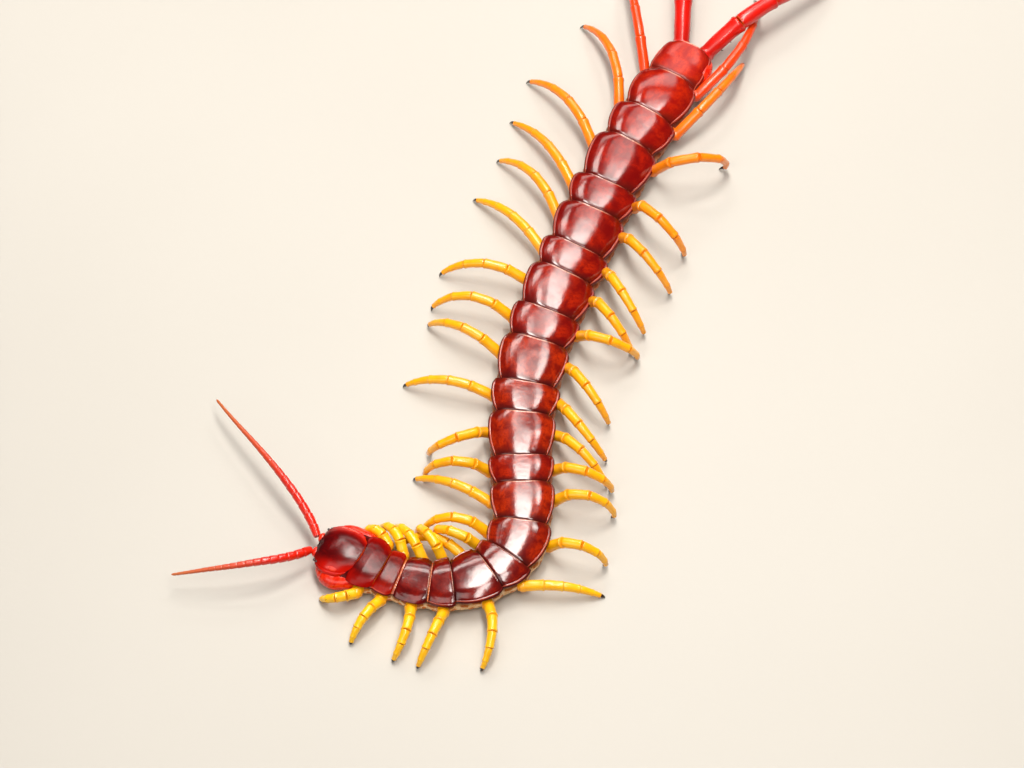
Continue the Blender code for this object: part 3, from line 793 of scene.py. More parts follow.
def make_materials():
    poison = ((0.66, 0.012, 0.001), (0.85, 0.035, 0.002))
    return {
        # The near black rear edge of the back plates is painted shadow.
        "plate": plate_material("back_cuticle", 1.0, 0.13, (0.02, 0.003, 0.002), 0.85),
        "front_plate": plate_material("front_cuticle", 0.28, 0.2, (0.50, 0.10, 0.008), 0.9, 0.35, 0.05),
        "last_plate": plate_material("last_cuticle", 0.8, 0.26, (0.75, 0.26, 0.03), 0.9),
        "head": plate_material("head_cuticle", 0.5, 0.2, (0.62, 0.05, 0.004), 0.95, 0.95, 0.4),
        "strip": plain_cuticle("strip_cuticle", (0.52, 0.10, 0.006), (0.32, 0.03, 0.006), 0.35),
        "skin": skin_material(),
        "belly": belly_material(),
        "leg": leg_material(),
        "antenna": antenna_material(),
        "poison": plain_cuticle("poison_claw_cuticle", *poison, 0.3, 0.8, 0.4),
        "black": plain_cuticle("black_horn", BLACK, (0.04, 0.014, 0.006), 0.22, 2.0),
        "eye": plain_cuticle("eye_lens", (0.006, 0.005, 0.006), (0.012, 0.008, 0.008), 0.12, 2.0, 1.0),
    }


MATERIALS = make_materials()


def plate_columns():
    """Places across a back plate, closer together where it has ridges."""
    half = runs((0.0, 20), (0.86, 20), end=1.0)
    return np.concatenate([-half[:0:-1], half])


COLUMNS = plate_columns()
UNDER_COLUMNS = np.array([0.985, 0.95, 0.85, 0.6, 0.3, 0.0, -0.3, -0.6, -0.85, -0.95, -0.985])


def back_profile(across):
    """The height of the back across its width, flat in the middle and falling to the margin."""
    return CROWN_HEIGHT - (CROWN_HEIGHT - MARGIN_HEIGHT) * np.abs(across) ** PLATE_ROUNDNESS


def plate_outline(number, share):
    """Half the width of a plate along its length, as a share of half the trunk's width."""
    if number in OWN_PLATE_WIDTHS:
        return smooth_keys(OWN_PLATE_WIDTHS[number], share)
    front = interpolate(FRONT_WIDTH_KEYS, number)
    rear = interpolate(REAR_WIDTH_KEYS, number)
    if number in SHORT_PLATES:
        rear += SHORT_REAR_WIDTH
    before = np.clip(1 - share / WIDEST_PLACE, 0.0, 1.0)
    behind = np.clip((share - WIDEST_PLACE) / (1 - WIDEST_PLACE), 0.0, 1.0)
    return 1 - (1 - front) * before ** FRONT_CURVE - (1 - rear) * behind ** REAR_CURVE


def roll_slope(along):
    """How much the back drops for each millimetre to the animal's left."""
    keys = [(segment_middle(number), math.tan(math.radians(angle))) for number, angle in ROLL_KEYS]
    return smooth_keys(keys, along)


def plate_bow(number, across):
    """How far the rear edge of a plate bows back in the middle."""
    return interpolate(PLATE_BOW_KEYS, number) * (1 - across ** 2)


def plate_rows(number):
    """Distances from the front of a segment to the rows of its plate, in millimetres."""
    end = SEGMENT_LENGTHS[number - 1] + PLATE_OVERHANG
    if number in REVEALED_FRONTS:
        head = REVEALED_FRONTS[number] + 1.3 * np.linspace(0.0, 1.0, 16) ** 1.6
    else:
        head = runs((-PLATE_TUCK, 4), (FRONT_ROWS[0], 17), end=FRONT_ROWS[1])
    return np.concatenate([head[:-1], runs((head[-1], 20), (end - REAR_ROWS, 18), end=end)])


def plate_relief(number, across, distance):
    """What the ridges, rims and sutures of a plate add to its height."""
    length = SEGMENT_LENGTHS[number - 1]
    from_rear = length + PLATE_OVERHANG - distance
    side = np.abs(across)
    relief = RIM_HEIGHT * bump_at(from_rear, RIM_PLACE, RIM_WIDTH)
    relief = relief - REAR_DROP * fall(from_rear, EDGE_SLOPE) - SIDE_DROP * ease(side, SIDE_EDGE, 1.0)
    if number in REVEALED_FRONTS:
        relief -= REVEALED_DROP * fall(distance - REVEALED_FRONTS[number], REVEALED_SLOPE)
    else:
        past_edge = distance - PLATE_OVERHANG - plate_bow(number - 1, across)
        relief -= FRONT_DROP * fall(past_edge, FRONT_SLOPE)
        relief += TUCKED_RISE * np.clip(past_edge, None, 0.0)
    relief += SWELL * np.sin(math.pi * np.clip(distance / length, 0.0, 1.0)) * length / 10
    if number >= FIRST_RIDGED:
        fade = ease(from_rear, *RIDGE_FROM_REAR) * ease(distance, *RIDGE_FROM_FRONT)
        relief += RIDGE_HEIGHT * bump_at(side, RIDGE_PLACE, RIDGE_WIDTH) * fade
        relief -= FURROW_DEPTH * bump_at(side, FURROW_PLACE, RIDGE_WIDTH) * fade
    return relief


def plate_grid(number, across):
    """Points of a back plate at these places across it, row by row, with each row's share."""
    distance = plate_rows(number)[:, None]
    across = across[None, :]
    share = np.clip(distance / (SEGMENT_LENGTHS[number - 1] + PLATE_OVERHANG), 0.0, 1.0)
    shift = plate_bow(number, across) * ease(share, 0.4, 1.0)
    if number in REVEALED_FRONTS:
        shift = shift + plate_bow(number - 1, across) * ease(share, 0.5, 0.0)
    along = segment_start(number) + distance + shift
    width = width_at(along)
    half = width / 2 * plate_outline(number, share)
    height = width * HEIGHT_PER_WIDTH * back_profile(across)
    up = BELLY_CLEARANCE + height + plate_relief(number, across, distance)
    up = up - roll_slope(along) * across * half
    return on_body(along, across * half, up), np.broadcast_to(share, width.shape)


def build_back_plate(number):
    """One of the glossy plates of the back, with a thinner underside."""
    top, share = plate_grid(number, COLUMNS)
    under, under_share = plate_grid(number, UNDER_COLUMNS)
    top[..., 2] += WAVINESS * waves(top, WAVE_LENGTH, number)
    under[..., 2] -= PLATE_THICKNESS
    build = Build()
    build.loft(
        np.concatenate([top, under], axis=1),
        across=np.concatenate([COLUMNS, UNDER_COLUMNS]),
        along=np.concatenate([share, under_share], axis=1),
        tone=interpolate(PLATE_TONE_KEYS, number),
    )
    look = {1: "front_plate", 2: "front_plate", SEGMENTS: "last_plate"}.get(number, "plate")
    build.piece(f"back_plate_{number:02d}", look, "back_plate")


def build_strips():
    """The beaded strips in front of two back plates, which show where the trunk bends most."""
    build = Build()
    across = np.linspace(-STRIP_REACH, STRIP_REACH, 181)
    for number, reveal in REVEALED_FRONTS.items():
        distance = np.linspace(-0.9, reveal + 0.4, 16)[:, None]
        along = segment_start(number) + distance + plate_bow(number - 1, across)
        row = bump_at(distance, 0.3 * reveal, 0.12) + bump_at(distance, 0.85 * reveal, 0.12)
        beads = BEAD_HEIGHT * row * (0.4 + np.sin(across * BEADS + number) ** 3)
        height = BELLY_CLEARANCE + height_at(along) * back_profile(across) - STRIP_DROP
        half = width_at(along) / 2 * STRIP_WIDTH
        build.slab(on_body(along, across * half, height + beads), STRIP_THICKNESS, 12)
    build.piece("plate_front_strips", "strip", "back_plate")


def skin_ring():
    """Places round the skin's cross section, across and up, as shares."""
    outline = np.array(SKIN_OUTLINE)
    whole = np.concatenate([outline, (outline * (-1, 1))[-2:0:-1]])
    closed = np.concatenate([whole, whole[:1]])
    steps = np.linalg.norm(np.diff(closed, axis=0), axis=1)
    travelled = np.concatenate([[0.0], np.cumsum(steps)])
    wanted = np.linspace(0.0, travelled[-1], SKIN_COLUMNS, endpoint=False)
    return np.interp(wanted, travelled, closed[:, 0]), np.interp(wanted, travelled, closed[:, 1])


def flank_relief(along, across, up, width):
    """How far the flank stands out, and what it is there: 0 skin, 1 plate and 2 a breathing hole, painted
    dark as shade.
    """
    out = np.zeros(along.shape)
    tone = np.zeros(along.shape)

    def away(centre, height, half_length, half_height):
        rise = (up - height) * width * HEIGHT_PER_WIDTH
        return np.hypot((along - centre) / half_length, rise / half_height)

    for number in NUMBERS:
        start = segment_start(number)
        length = SEGMENT_LENGTHS[number - 1]
        side = (along > start - 3) & (along < start + length + 3) & (np.abs(across) > 0.5)
        base = leg_place(number) if number < LAST_LEG else start + length
        half_length, half_height, stand = LEG_MOUND
        out += side * stand * np.exp(-away(base, LEG_ROOT_HEIGHT, half_length, half_height) ** 2)
        place, fold_width, depth = JOINT_FOLD
        out -= side * depth * bump_at(along, start + place * length, fold_width)
        for share, *size in FLANK_PLATES:
            plate = side * (1.0 - ease(away(start + share * length, *size), 0.75, 1.1))
            out += FLANK_PLATE_RISE * plate
            tone = np.maximum(tone, plate)
        if number in SPIRACLE_SEGMENTS:
            far = away(start + SPIRACLE[0] * length, *SPIRACLE[1:])
            hole = side * (1.0 - ease(far, 0.6, 1.0))
            out += side * SPIRACLE_RIM * bump_at(far, 1.25, 0.25) - SPIRACLE_DEPTH * hole
            tone = np.maximum(tone, 2.0 * hole)
    return out, tone


def build_skin():
    """One soft skin under all the plates, from inside the head to the rear of the trunk."""
    start = HEAD_LENGTH - SKIN_INSIDE_HEAD
    end = BODY_END - SKIN_SHORT_OF_REAR
    along = np.linspace(start, end, int((end - start) / SKIN_STEP))[:, None]
    across, up = (item[None, :] for item in skin_ring())
    shape = (along.shape[0], across.shape[1])
    along, across, up = (np.broadcast_to(item, shape) for item in (along, across, up))
    width = width_at(along)
    relief, tone = flank_relief(along, across, up, width)
    flank = ease(np.abs(across), 0.62, 0.8) * ease(up, 0.02, 0.12) * ease(up, 0.72, 0.6)
    height = BELLY_CLEARANCE + up * width * HEIGHT_PER_WIDTH
    level = on_body(along, across * width / 2, height)
    folds = waves(level * (1.0, 1.0, 0.6), FOLD_LENGTH) * FOLD_DEPTH
    folds = folds + waves(level, WRINKLE_LENGTH, 7.0) * WRINKLE_DEPTH
    half = width / 2 * across
    half = half + np.sign(across) * flank * (relief + folds * (1 - 0.6 * np.clip(tone, 0, 1)))
    ends = np.minimum(ease(along, start - 0.1, start + 2.0), ease(-along, -end - 0.05, -end + 1.2))
    middle = BELLY_CLEARANCE + 0.4 * width * HEIGHT_PER_WIDTH
    squeeze = 0.55 + 0.45 * ends
    lean = roll_slope(along) * half * ease(up, 0.1, 0.6)
    points = on_body(along, half * squeeze, middle + (height - middle) * squeeze - lean)
    build = Build()
    build.loft(points, across=along / BODY_END, along=up, tone=tone)
    trunk_nodes = [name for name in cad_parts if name.startswith("trunk_")]
    build.piece("trunk_skin", "skin", "membrane", trunk_nodes, sharp=80.0)


def build_belly_plates():
    """A plate under each segment, with two long grooves."""
    build = Build()
    across = np.linspace(-1.0, 1.0, 41)
    rows = (np.linspace(0.0, 0.1, 4), np.linspace(0.16, 0.84, 9), np.linspace(0.9, 1.0, 5))
    share = np.concatenate(rows)[:, None]
    grooves = bump_at(np.abs(across), BELLY_GROOVE_PLACE, BELLY_GROOVE_WIDTH)
    for number in NUMBERS:
        along = segment_start(number) + 0.15 + share * (SEGMENT_LENGTHS[number - 1] - 0.25)
        taper = interpolate(BELLY_TAPER, share)
        if number == SEGMENTS:
            taper = taper * (1.0 - 0.35 * share)
        half = width_at(along) / 2 * BELLY_PLATE_WIDTH * taper
        bulge = BELLY_BULGE * (1 - across ** 4) * np.sin(math.pi * np.clip(share, 0.06, 0.94)) ** 0.4
        low = BELLY_CLEARANCE - 0.02 - bulge + BELLY_GROOVE_DEPTH * grooves + 0.12 * np.abs(across) ** 3
        build.slab(on_body(along, across * half, low), -BELLY_PLATE_THICKNESS, 5, across, share)
    build.piece("belly_plates", "belly", "back_plate")


def arch(span, lengths, bends):
    """The points of a chain of these lengths that bends evenly over a straight span."""
    def chain(bend):
        angle = 0.0
        points = [(0.0, 0.0)]
        for length, share in zip(lengths, bends):
            angle -= bend * share
            x, y = points[-1]
            points.append((x + length * math.cos(angle), y + length * math.sin(angle)))
        return points

    low, high = 0.0, math.radians(MOST_LEG_BEND)
    for _ in range(LEG_BEND_HALVINGS):
        bend = (low + high) / 2
        if math.hypot(*chain(bend)[-1]) > span:
            low = bend
        else:
            high = bend
    points = chain((low + high) / 2)
    end = math.atan2(points[-1][1], points[-1][0])
    turned = []
    for x, y in points:
        turned.append((x * math.cos(end) + y * math.sin(end), y * math.cos(end) - x * math.sin(end)))
    return turned


def walking_leg_roots(number, sign):
    """Where a walking leg leaves the flank, and its hip just under the edge of the back."""
    along = leg_place(number)
    half = width_at(along) / 2
    height = BELLY_CLEARANCE + LEG_ROOT_HEIGHT * height_at(along)
    root = on_body(along, sign * (LEG_ROOT_SIDE * half - LEG_ROOT_INSET), height)
    out = interpolate(LEG_HIP_OUT_KEYS, number)
    hip = on_body(along, sign * (half + out), height - LEG_HIP_DROP)
    return root, hip


def last_leg_roots(sign):
    """Where a last leg leaves the rear of the trunk, and its hip just behind it."""
    side = sign * LAST_LEG_ROOT_SIDE
    root = on_body(BODY_END - LAST_LEG_ROOT_INSIDE, side, LAST_LEG_ROOT_HEIGHT)
    hip = on_body(BODY_END + LAST_LEG_HIP_BEHIND, side, LAST_LEG_ROOT_HEIGHT)
    return root, hip


def leg_chain(roots, sign, length, shares, bends, pose):
    """The joints of a leg from its root to the tip of its claw, and the way that its arch faces."""
    root, hip = roots
    bearing, reach, lean = pose
    angle = math.radians(bearing)
    foot = np.array([hip[0] + reach * math.cos(angle), hip[1] + reach * math.sin(angle), 0.0])
    forward = unit(foot - hip)
    sideways = unit(np.cross((0.0, 0.0, 1.0), forward)) * -sign
    upward = np.cross(sideways, forward) * sign
    tilt = math.radians(lean)
    over = upward * math.cos(tilt) + sideways * math.sin(tilt)
    points = [root]
    for x, y in arch(float(np.linalg.norm(foot - hip)), [share * length for share in shares], bends):
        points.append(hip + forward * x + over * y)
    return points, over


def article_rings(first, second, over, radii, shape=ARTICLE_SHAPE, rows=ARTICLE_ROWS, bow=ARTICLE_BOW):
    """The rings of one article, flared at its far end, and each row's place along it."""
    rows = np.array(rows)
    axis = second - first
    length = np.linalg.norm(axis)
    upward = square_to(axis / length, over)
    side = np.cross(axis / length, upward)
    radius = (radii[0] + (radii[1] - radii[0]) * rows) * smooth_keys(shape, rows)
    centre = first + rows[:, None] * axis + upward * (4 * bow * length * rows * (1 - rows))[:, None]
    angle = circle(ARTICLE_COLUMNS)[:, None]
    spokes = np.cos(angle) * upward + np.sin(angle) * side
    return centre[:, None, :] + radius[:, None, None] * spokes[None, :, :], rows[:, None]


def build_leg_claw(claws, points, over, radii):
    """The black claw of a leg, with two small spurs beside it."""
    base, tip = points[-2], points[-1].copy()
    tip[2] += CLAW_LIFT
    radius = radii[-2]
    rings, _ = article_rings(base, tip, over, (radius * 0.8, radius * 0.8), CLAW_SHAPE, CLAW_ROWS, 0.12)
    rings[..., 2] = np.maximum(rings[..., 2], 0.01)
    claws.loft(rings)
    axis = tip - base
    side = unit(np.cross(axis, over))
    for sign in (-1, 1):
        start = base + side * sign * radius * 0.5
        end = base + axis * 0.45 + side * sign * radius * 0.75
        end[2] = max(end[2], 0.06)
        claws.spine(start, end, CLAW_SPUR_RADIUS)


def add_joint_marks(marks, tangent, over, joint, radius, with_spot, with_spur):
    """The black spot on top of a joint, and the spur below it."""
    upward = square_to(tangent, over)
    if with_spot:
        centre = joint - tangent * radius * 0.28 + upward * radius * 1.03
        turn = math.atan2(tangent[1], tangent[0])
        marks.ball(centre, [radius * share for share in SPOT_SIZE], turn, rings=7, columns=10)
    if with_spur:
        base = joint - tangent * radius * 0.3 - upward * radius * 0.8
        marks.spine(base, base + tangent * radius * 1.1 - upward * radius * 0.25, radius * 0.16)


def build_leg(name, points, over, radii, tone, pieces, slot_name):
    """A leg of jointed articles. The claw and the dark joint marks go into pieces of their own."""
    claws, marks = pieces
    build = Build()
    total = len(points) - 2
    hip_radius = radii[0] * HIP_SCALE
    rings, rows = article_rings(points[0], points[1], over, (radii[0] * ROOT_SCALE, hip_radius))
    build.loft(rings, along=rows, tone=tone)
    build.ball(points[1], (hip_radius,) * 3, tone=tone, rings=14, columns=24)
    for index in range(total - 1):
        first, second = points[index + 1], points[index + 2]
        tangent = unit(second - first)
        pair = (radii[index], radii[index + 1])
        rings, rows = article_rings(first - tangent * JOINT_OVERLAP, second, over, pair)
        build.loft(rings, along=rows, across=(index + rows) / total, tone=tone)
        add_joint_marks(marks, tangent, over, second, pair[1], index < 3, index in (2, 3))
    build_leg_claw(claws, points, over, radii)
    build.piece(f"jointed_{name}", "leg", slot_name, [name])


def build_last_leg_spines(build, points, over, radii):
    """Short black spines round the first article of a last leg."""
    first, second = points[1], points[2]
    tangent = unit(second - first)
    upward = square_to(tangent, over)
    side = np.cross(tangent, upward)
    for place, angle in LAST_LEG_SPINES:
        radius = radii[0] + (radii[1] - radii[0]) * place
        turn = math.radians(angle)
        spoke = upward * math.cos(turn) + side * math.sin(turn)
        base = first + (second - first) * place + spoke * radius * 0.93
        build.spine(base, base + spoke * 0.45 + tangent * 0.4, LAST_LEG_SPINE_RADIUS)


def build_legs():
    claws = Build()
    marks = Build()
    pieces = (claws, marks)
    for side, sign in SIDES:
        for number, pose in WALKING_LEGS[side].items():
            length = interpolate(LEG_LENGTH_KEYS, number)
            roots = walking_leg_roots(number, sign)
            points, over = leg_chain(roots, sign, length, LEG_SHARES, LEG_BENDS, pose)
            tone = interpolate(LEG_TONE_KEYS, number)
            build_leg(f"leg_{side}_{number:02d}", points, over, LEG_RADII, tone, pieces, "leg")
        shape = (LAST_LEG_LENGTH, LAST_LEG_SHARES, LAST_LEG_BENDS, LAST_LEG_POSES[side])
        points, over = leg_chain(last_leg_roots(sign), sign, *shape)
        build_leg(f"leg_{side}_{LAST_LEG}", points, over, LAST_LEG_RADII, 1.0, pieces, "last_leg")
        build_last_leg_spines(marks, points, over, LAST_LEG_RADII)
    claws.piece("leg_claws", "black", "claw_tip")
    marks.piece("leg_joint_spots_and_spurs", "black", "claw_tip")


def build_head():
    """The head: a wide domed plate with a rim over the softer sides."""
    front, rear = HEAD_WIDTHS[0][0], HEAD_WIDTHS[-1][0]
    nose = front + (1.6 - front) * np.linspace(0.0, 1.0, 14, endpoint=False) ** 1.7
    along = np.concatenate([nose, runs((1.6, 22), (rear - 1.0, 17), end=rear)])[:, None]
    side = np.abs(COLUMNS)
    from_rear = rear - along
    margin = smooth_keys(HEAD_MARGIN, along)
    crown = smooth_keys(HEAD_CROWN, along)
    dome = np.clip(1 - side ** 2.6, 0, 1) ** 0.9
    notch = 0.3 * bump_at(COLUMNS, 0.0, 0.18) * ease(along, 2.0, 0.1)
    rim = 0.08 * bump_at(from_rear, 0.26, 0.12) - 0.2 * fall(from_rear, EDGE_SLOPE)
    rim = rim + 0.08 * bump_at(side, 0.965, 0.018) - 0.04 * bump_at(side, 0.92, 0.02)
    up = margin + (crown - margin) * dome + rim - SIDE_DROP * ease(side, SIDE_EDGE, 1.0)
    shift = plate_bow(0, COLUMNS) * ease(along, 5.0, rear) + notch
    top = on_body(along + shift, COLUMNS * smooth_keys(HEAD_WIDTHS, along), up)
    top[..., 2] += 0.05 * waves(top, WAVE_LENGTH, 40.0)
    plate = Build()
    plate.slab(top, 0.3, 7, COLUMNS, np.clip((along - front) / (rear - front), 0.0, 1.0))
    plate.piece("head_plate", "head", "head_plate", ["head"])


def build_head_sides():
    """What shows of the head below its plate, with the two sockets of the antennae."""
    build = Build()
    along = np.linspace(0.25, 9.4, 36)[:, None]
    half = smooth_keys(HEAD_WIDTHS, along) * 0.95
    low = smooth_keys(((0.2, 3.9), (1.0, 3.5), (3.0, 3.2), (9.4, 3.2)), along)
    middle = smooth_keys(HEAD_MARGIN, along) - 0.25
    high = smooth_keys(HEAD_CROWN, along) - 0.5
    angle = circle(64)
    across = rounded(np.sin(angle), 0.75)
    over = middle + (high - middle) * np.abs(np.cos(angle)) ** 0.9
    below = middle - (middle - low) * np.abs(np.cos(angle)) ** 0.7
    points = on_body(along, across * half, np.where(np.cos(angle) > 0, over, below))
    points += (0.05 * waves(points, 0.9, 3.0))[..., None] * (0.5, 0.5, 1.0)
    build.loft(points)
    for sign in (-1, 1):
        along, out, up = ANTENNA_SOCKET
        centre = on_body(along, sign * out, up)
        build.ball(centre, ANTENNA_SOCKET_RADII, math.radians(HEAD_BEARING), rings=12, columns=20)
    build.piece("head_sides", "poison", "head_plate", sharp=80.0)


def build_eyes():
    """Four small black eyes on each side of the head."""
    along, out, up = EYES_PLACE
    for side, sign in SIDES:
        build = Build()
        turn = math.radians(HEAD_BEARING + sign * EYES_TURN)
        for back, rise, radius in OCELLI:
            away = sign * (out + back * 0.75 - rise * 0.25)
            centre = on_body(along + back * 1.35, away, up + rise * 1.1)
            build.ball(centre, (radius, radius, radius), turn, rings=12, columns=20)
        build.piece(f"eyelets_{side}", "eye", "eye", [f"eyes_{side}"])


def tube_rings(points, radii, columns, flatten=1.0):
    """Rings along a curve of points in space, kept level."""
    tangents = np.gradient(points, axis=0)
    tangents /= np.linalg.norm(tangents, axis=1)[:, None]
    sides = np.cross(tangents, (0.0, 0.0, 1.0))
    sides /= np.linalg.norm(sides, axis=1)[:, None]
    ups = np.cross(sides, tangents)
    angle = circle(columns)[None, :, None]
    spokes = np.cos(angle) * sides[:, None] + flatten * np.sin(angle) * ups[:, None]
    return points[:, None, :] + radii[:, None, None] * spokes


def side_tube(route, sign, radii, columns, flatten=1.0):
    """Rings along a route on one side of the animal."""
    points = on_body(route[:, 0], sign * route[:, 1], route[:, 2])
    return tube_rings(points, radii, columns, flatten)


def build_poison_claws():
    """The curved claws under the head."""
    route, fine = smooth_route(CLAW_ROUTE, 84)
    radii = smooth_keys(tuple(zip(np.linspace(0.0, 1.0, len(CLAW_RADII)), CLAW_RADII)), fine)
    for place in (0.5, 0.58, 0.66):
        groove = 0.08 * bump_at(fine, place, 0.012)
        radii = radii * (1 - groove + 0.04 * bump_at(fine, place - 0.03, 0.02))
    radii = radii * interpolate(((0.0, 0.75), (0.06, 1.0), (0.94, 0.9), (1.0, 0.3)), fine)
    for side, sign in SIDES:
        build = Build()
        build.loft(side_tube(route, sign, radii, 36), tone=ease(fine, 0.76, 0.9)[:, None])
        build.piece(f"curved_poison_claw_{side}", "poison", "poison_claw", [f"poison_claw_{side}"])


def slab_rings(stations, rows, columns, shift=0.0):
    """A flat rounded plate through (along, half width, underside, top) stations."""
    places, *measures = np.array(stations).T
    along = np.linspace(places[0], places[-1], rows)[:, None]
    half, low, high = (np.interp(along, places, measure) for measure in measures)
    across = rounded(np.cos(circle(columns)), 0.35)
    rise = rounded(np.sin(circle(columns)), 0.8)
    ends = np.sin(math.pi * np.clip(np.linspace(0.0, 1.0, rows), 0.04, 0.96))[:, None] ** 0.25
    return on_body(along, shift + across * half * ends, (low + high) / 2 + rise * (high - low) / 2 * ends)


def build_claw_base():
    """The plate that carries the poison claws, with its two toothed edges."""
    build = Build()
    stations = (
        (3.7, 1.9, 1.0, 2.4), (4.6, 2.9, 0.85, 2.8), (5.6, 3.8, 0.8, 3.1),
        (7.6, 4.4, 0.8, 3.3), (9.6, 4.3, 0.85, 3.4),
    )
    build.loft(slab_rings(stations, 30, 56))
    tooth_plate = ((2.7, 0.75, 1.1, 1.9), (3.4, 0.85, 1.0, 2.1), (4.2, 0.85, 1.0, 2.2))
    for sign in (-1, 1):
        build.loft(slab_rings(tooth_plate, 12, 28, float(sign)))
        for tooth in range(5):
            out = sign * (0.4 + tooth * 0.3)
            base = on_body(2.95, out, 1.5)
            build.spine(base, on_body(2.35 + 0.05 * tooth, out, 1.45), 0.17, tone=1.0)
    build.piece("poison_claw_plate", "poison", "poison_claw", ["poison_claw_base"])


def build_mouth():
    """Two palps under the front of the head, with the lips between them."""
    build = Build()
    build.loft(slab_rings(((1.6, 1.1, 2.0, 3.3), (2.4, 1.9, 1.9, 3.5), (4.4, 2.2, 1.9, 3.5)), 18, 36))
    path = ((4.2, 2.0, 2.4), (3.1, 2.4, 2.35), (2.0, 2.0, 2.3), (1.3, 1.3, 2.25), (1.0, 0.7, 2.2))
    route, fine = smooth_route(path, 30)
    keys = ((0.0, 0.5), (0.2, 0.6), (0.45, 0.45), (0.5, 0.52), (0.75, 0.4), (0.8, 0.44), (1.0, 0.16))
    for sign in (-1, 1):
        build.loft(side_tube(route, sign, interpolate(keys, fine), 18))
    build.piece("mouth_palps", "strip", "poison_claw", ["mouthparts"])


def antenna_centre(side, sign, shares):
    """Points along an antenna at these shares of its length."""
    steps = np.linspace(0.0, 1.0, ANTENNA_STEPS + 1)
    bearings = np.radians(interpolate(ANTENNA_BEARINGS[side], steps))
    along, out, up = ANTENNA_ROOT
    x, y = walk(on_body(along, sign * out, up), bearings, ANTENNA_LENGTHS[side] / ANTENNA_STEPS)
    z = smooth_keys(ANTENNA_HEIGHTS, steps)
    return np.stack([np.interp(shares, steps, item) for item in (x, y, z)], axis=-1)


def build_antennae():
    """Antennae whose articles get shorter and thinner towards the tip."""
    weights = np.linspace(1.25, 0.75, ANTENNA_ARTICLES)
    ends = np.concatenate([[0.0], np.cumsum(weights) / weights.sum()])
    rows = np.linspace(0.0, 1.0, ROWS_PER_ARTICLE)
    middle_shape = ((0.0, 0.86), (0.1, 0.94), (0.4, 1.0), (0.75, 1.03), (0.93, 1.02), (1.0, 0.86))
    tip_shape = ((0.0, 0.85), (0.15, 0.95), (0.5, 1.0), (0.8, 0.8), (0.93, 0.5), (1.0, 0.12))
    for side, sign in SIDES:
        build = Build()
        for index in range(ANTENNA_ARTICLES):
            low, high = ends[index], ends[index + 1]
            shares = low - ARTICLE_TUCK + rows * (high - low + ARTICLE_TUCK)
            centre = antenna_centre(side, sign, np.clip(shares, 0.0, 1.0))
            shape = tip_shape if index == ANTENNA_ARTICLES - 1 else middle_shape
            radii = interpolate(ANTENNA_RADII, shares) * smooth_keys(shape, rows)
            build.loft(tube_rings(centre, radii, 24), across=shares[:, None], along=rows[:, None])
        build.piece(f"jointed_antenna_{side}", "antenna", "antenna", [f"antenna_{side}"])


def build_rear_end():
    """The side plates of the last segment, each drawn out to a spine, and the end lobes."""
    build = Build()
    path = (
        (-8.5, 4.9, 3.2), (-5.5, 5.4, 3.4), (-2.4, 4.9, 3.3),
        (-0.4, 3.2, 2.8), (1.2, 2.3, 2.4), (2.6, 1.8, 2.2),
    )
    route, fine = smooth_route(path, 44)
    keys = ((0.0, 0.7), (0.2, 1.6), (0.5, 1.65), (0.7, 1.1), (0.9, 0.45), (1.0, 0.1))
    route = route + (BODY_END, 0.0, 0.0)
    for sign in (-1, 1):
        rings = side_tube(route, sign, interpolate(keys, fine), 32, 1.15)
        build.loft(rings, tone=ease(fine, 0.93, 0.99)[:, None])
    turn = math.radians(SEGMENT_BEARINGS[-1])
    build.ball(on_body(BODY_END - 0.4, 0.0, 2.4), (1.6, 1.5, 1.2), turn, rings=14, columns=24)
    build.piece("rear_side_plates", "poison", "last_leg", sharp=80.0)


def build_floor():
    """A plain pale floor."""
    mesh = bpy.data.meshes.new("floor")
    corners = [(x * FLOOR_REACH, y * FLOOR_REACH, 0) for x, y in ((-1, -1), (1, -1), (1, 1), (-1, 1))]
    mesh.from_pydata(corners, [], [(0, 1, 2, 3)])
    floor = add_object("floor", mesh)
    surface = Surface("pale_floor", 0.75, specular=0.2)
    surface.colour = FLOOR_COLOURS[0]
    surface.layer(FLOOR_COLOURS[1], (surface.noise(0.004), 0.3, 0.7))
    mesh.materials.append(surface.finish([(surface.noise(0.8), 0.02)]))


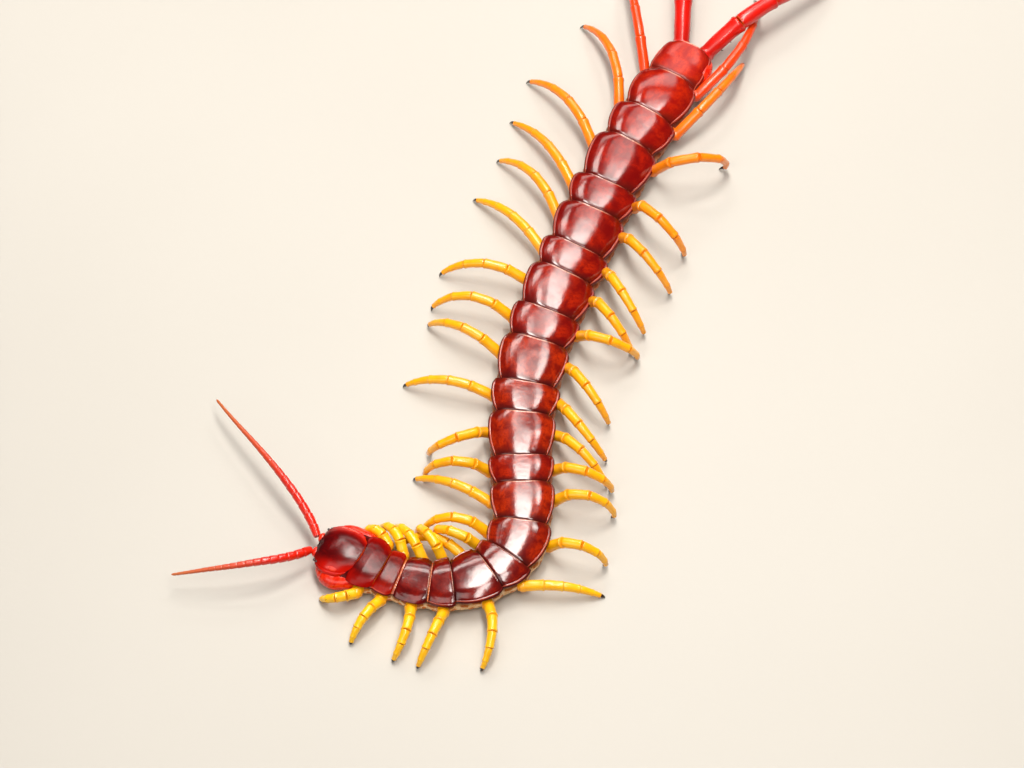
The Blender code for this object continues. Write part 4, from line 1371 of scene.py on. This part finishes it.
def add_light(name, place, aim, size, brightness):
    """A soft box whose face has this brightness."""
    lamp = bpy.data.lights.new(name, "AREA")
    lamp.shape = "RECTANGLE"
    lamp.size, lamp.size_y = size
    lamp.energy = brightness * math.pi * size[0] * size[1]
    lamp.color = PANEL_COLOUR
    light = add_object(name, lamp)
    light.location = place
    light.rotation_euler = (Vector(aim) - Vector(place)).to_track_quat("-Z", "Y").to_euler()


def add_lights():
    """Boxes over the animal that its back mirrors as bright bands, and soft light from the side."""
    for name, across, along, brightness in PANELS:
        centre = ((across[0] + across[1]) / 2, (along[0] + along[1]) / 2)
        size = (across[1] - across[0], along[1] - along[0])
        add_light(name, (*centre, PANEL_HEIGHT), (*centre, 0.0), size, brightness)
    add_light("fill", FRONT_PLACE, (0.0, 0.0, 0.0), FRONT_SIZE, FRONT_BRIGHTNESS)
    world = bpy.data.worlds.new("studio")
    world.use_nodes = True
    background = world.node_tree.nodes["Background"]
    background.inputs["Color"].default_value = (1.0, 1.0, 1.0, 1.0)
    background.inputs["Strength"].default_value = WORLD_BRIGHTNESS
    bpy.context.scene.world = world
    bpy.context.scene.view_settings.view_transform = "Standard"


def add_camera():
    camera_data = bpy.data.cameras.new("camera")
    camera_data.lens = CAMERA_LENS
    camera_data.sensor_width = SENSOR_WIDTH
    camera_data.clip_start = CAMERA_NEAREST
    camera = add_object("camera", camera_data)
    elevation = math.radians(CAMERA_ELEVATION)
    camera.location = (
        VIEW_CENTRE[0] * MM,
        VIEW_CENTRE[1] * MM - CAMERA_DISTANCE * math.cos(elevation),
        CAMERA_DISTANCE * math.sin(elevation),
    )
    camera.rotation_euler = (math.pi / 2 - elevation, 0.0, 0.0)
    bpy.context.scene.camera = camera


def main():
    build_skin()
    build_belly_plates()
    build_strips()
    for number in NUMBERS:
        build_back_plate(number)
    build_rear_end()
    build_legs()
    build_head()
    build_head_sides()
    build_eyes()
    build_poison_claws()
    build_claw_base()
    build_mouth()
    build_antennae()
    build_floor()
    add_lights()
    add_camera()


main()
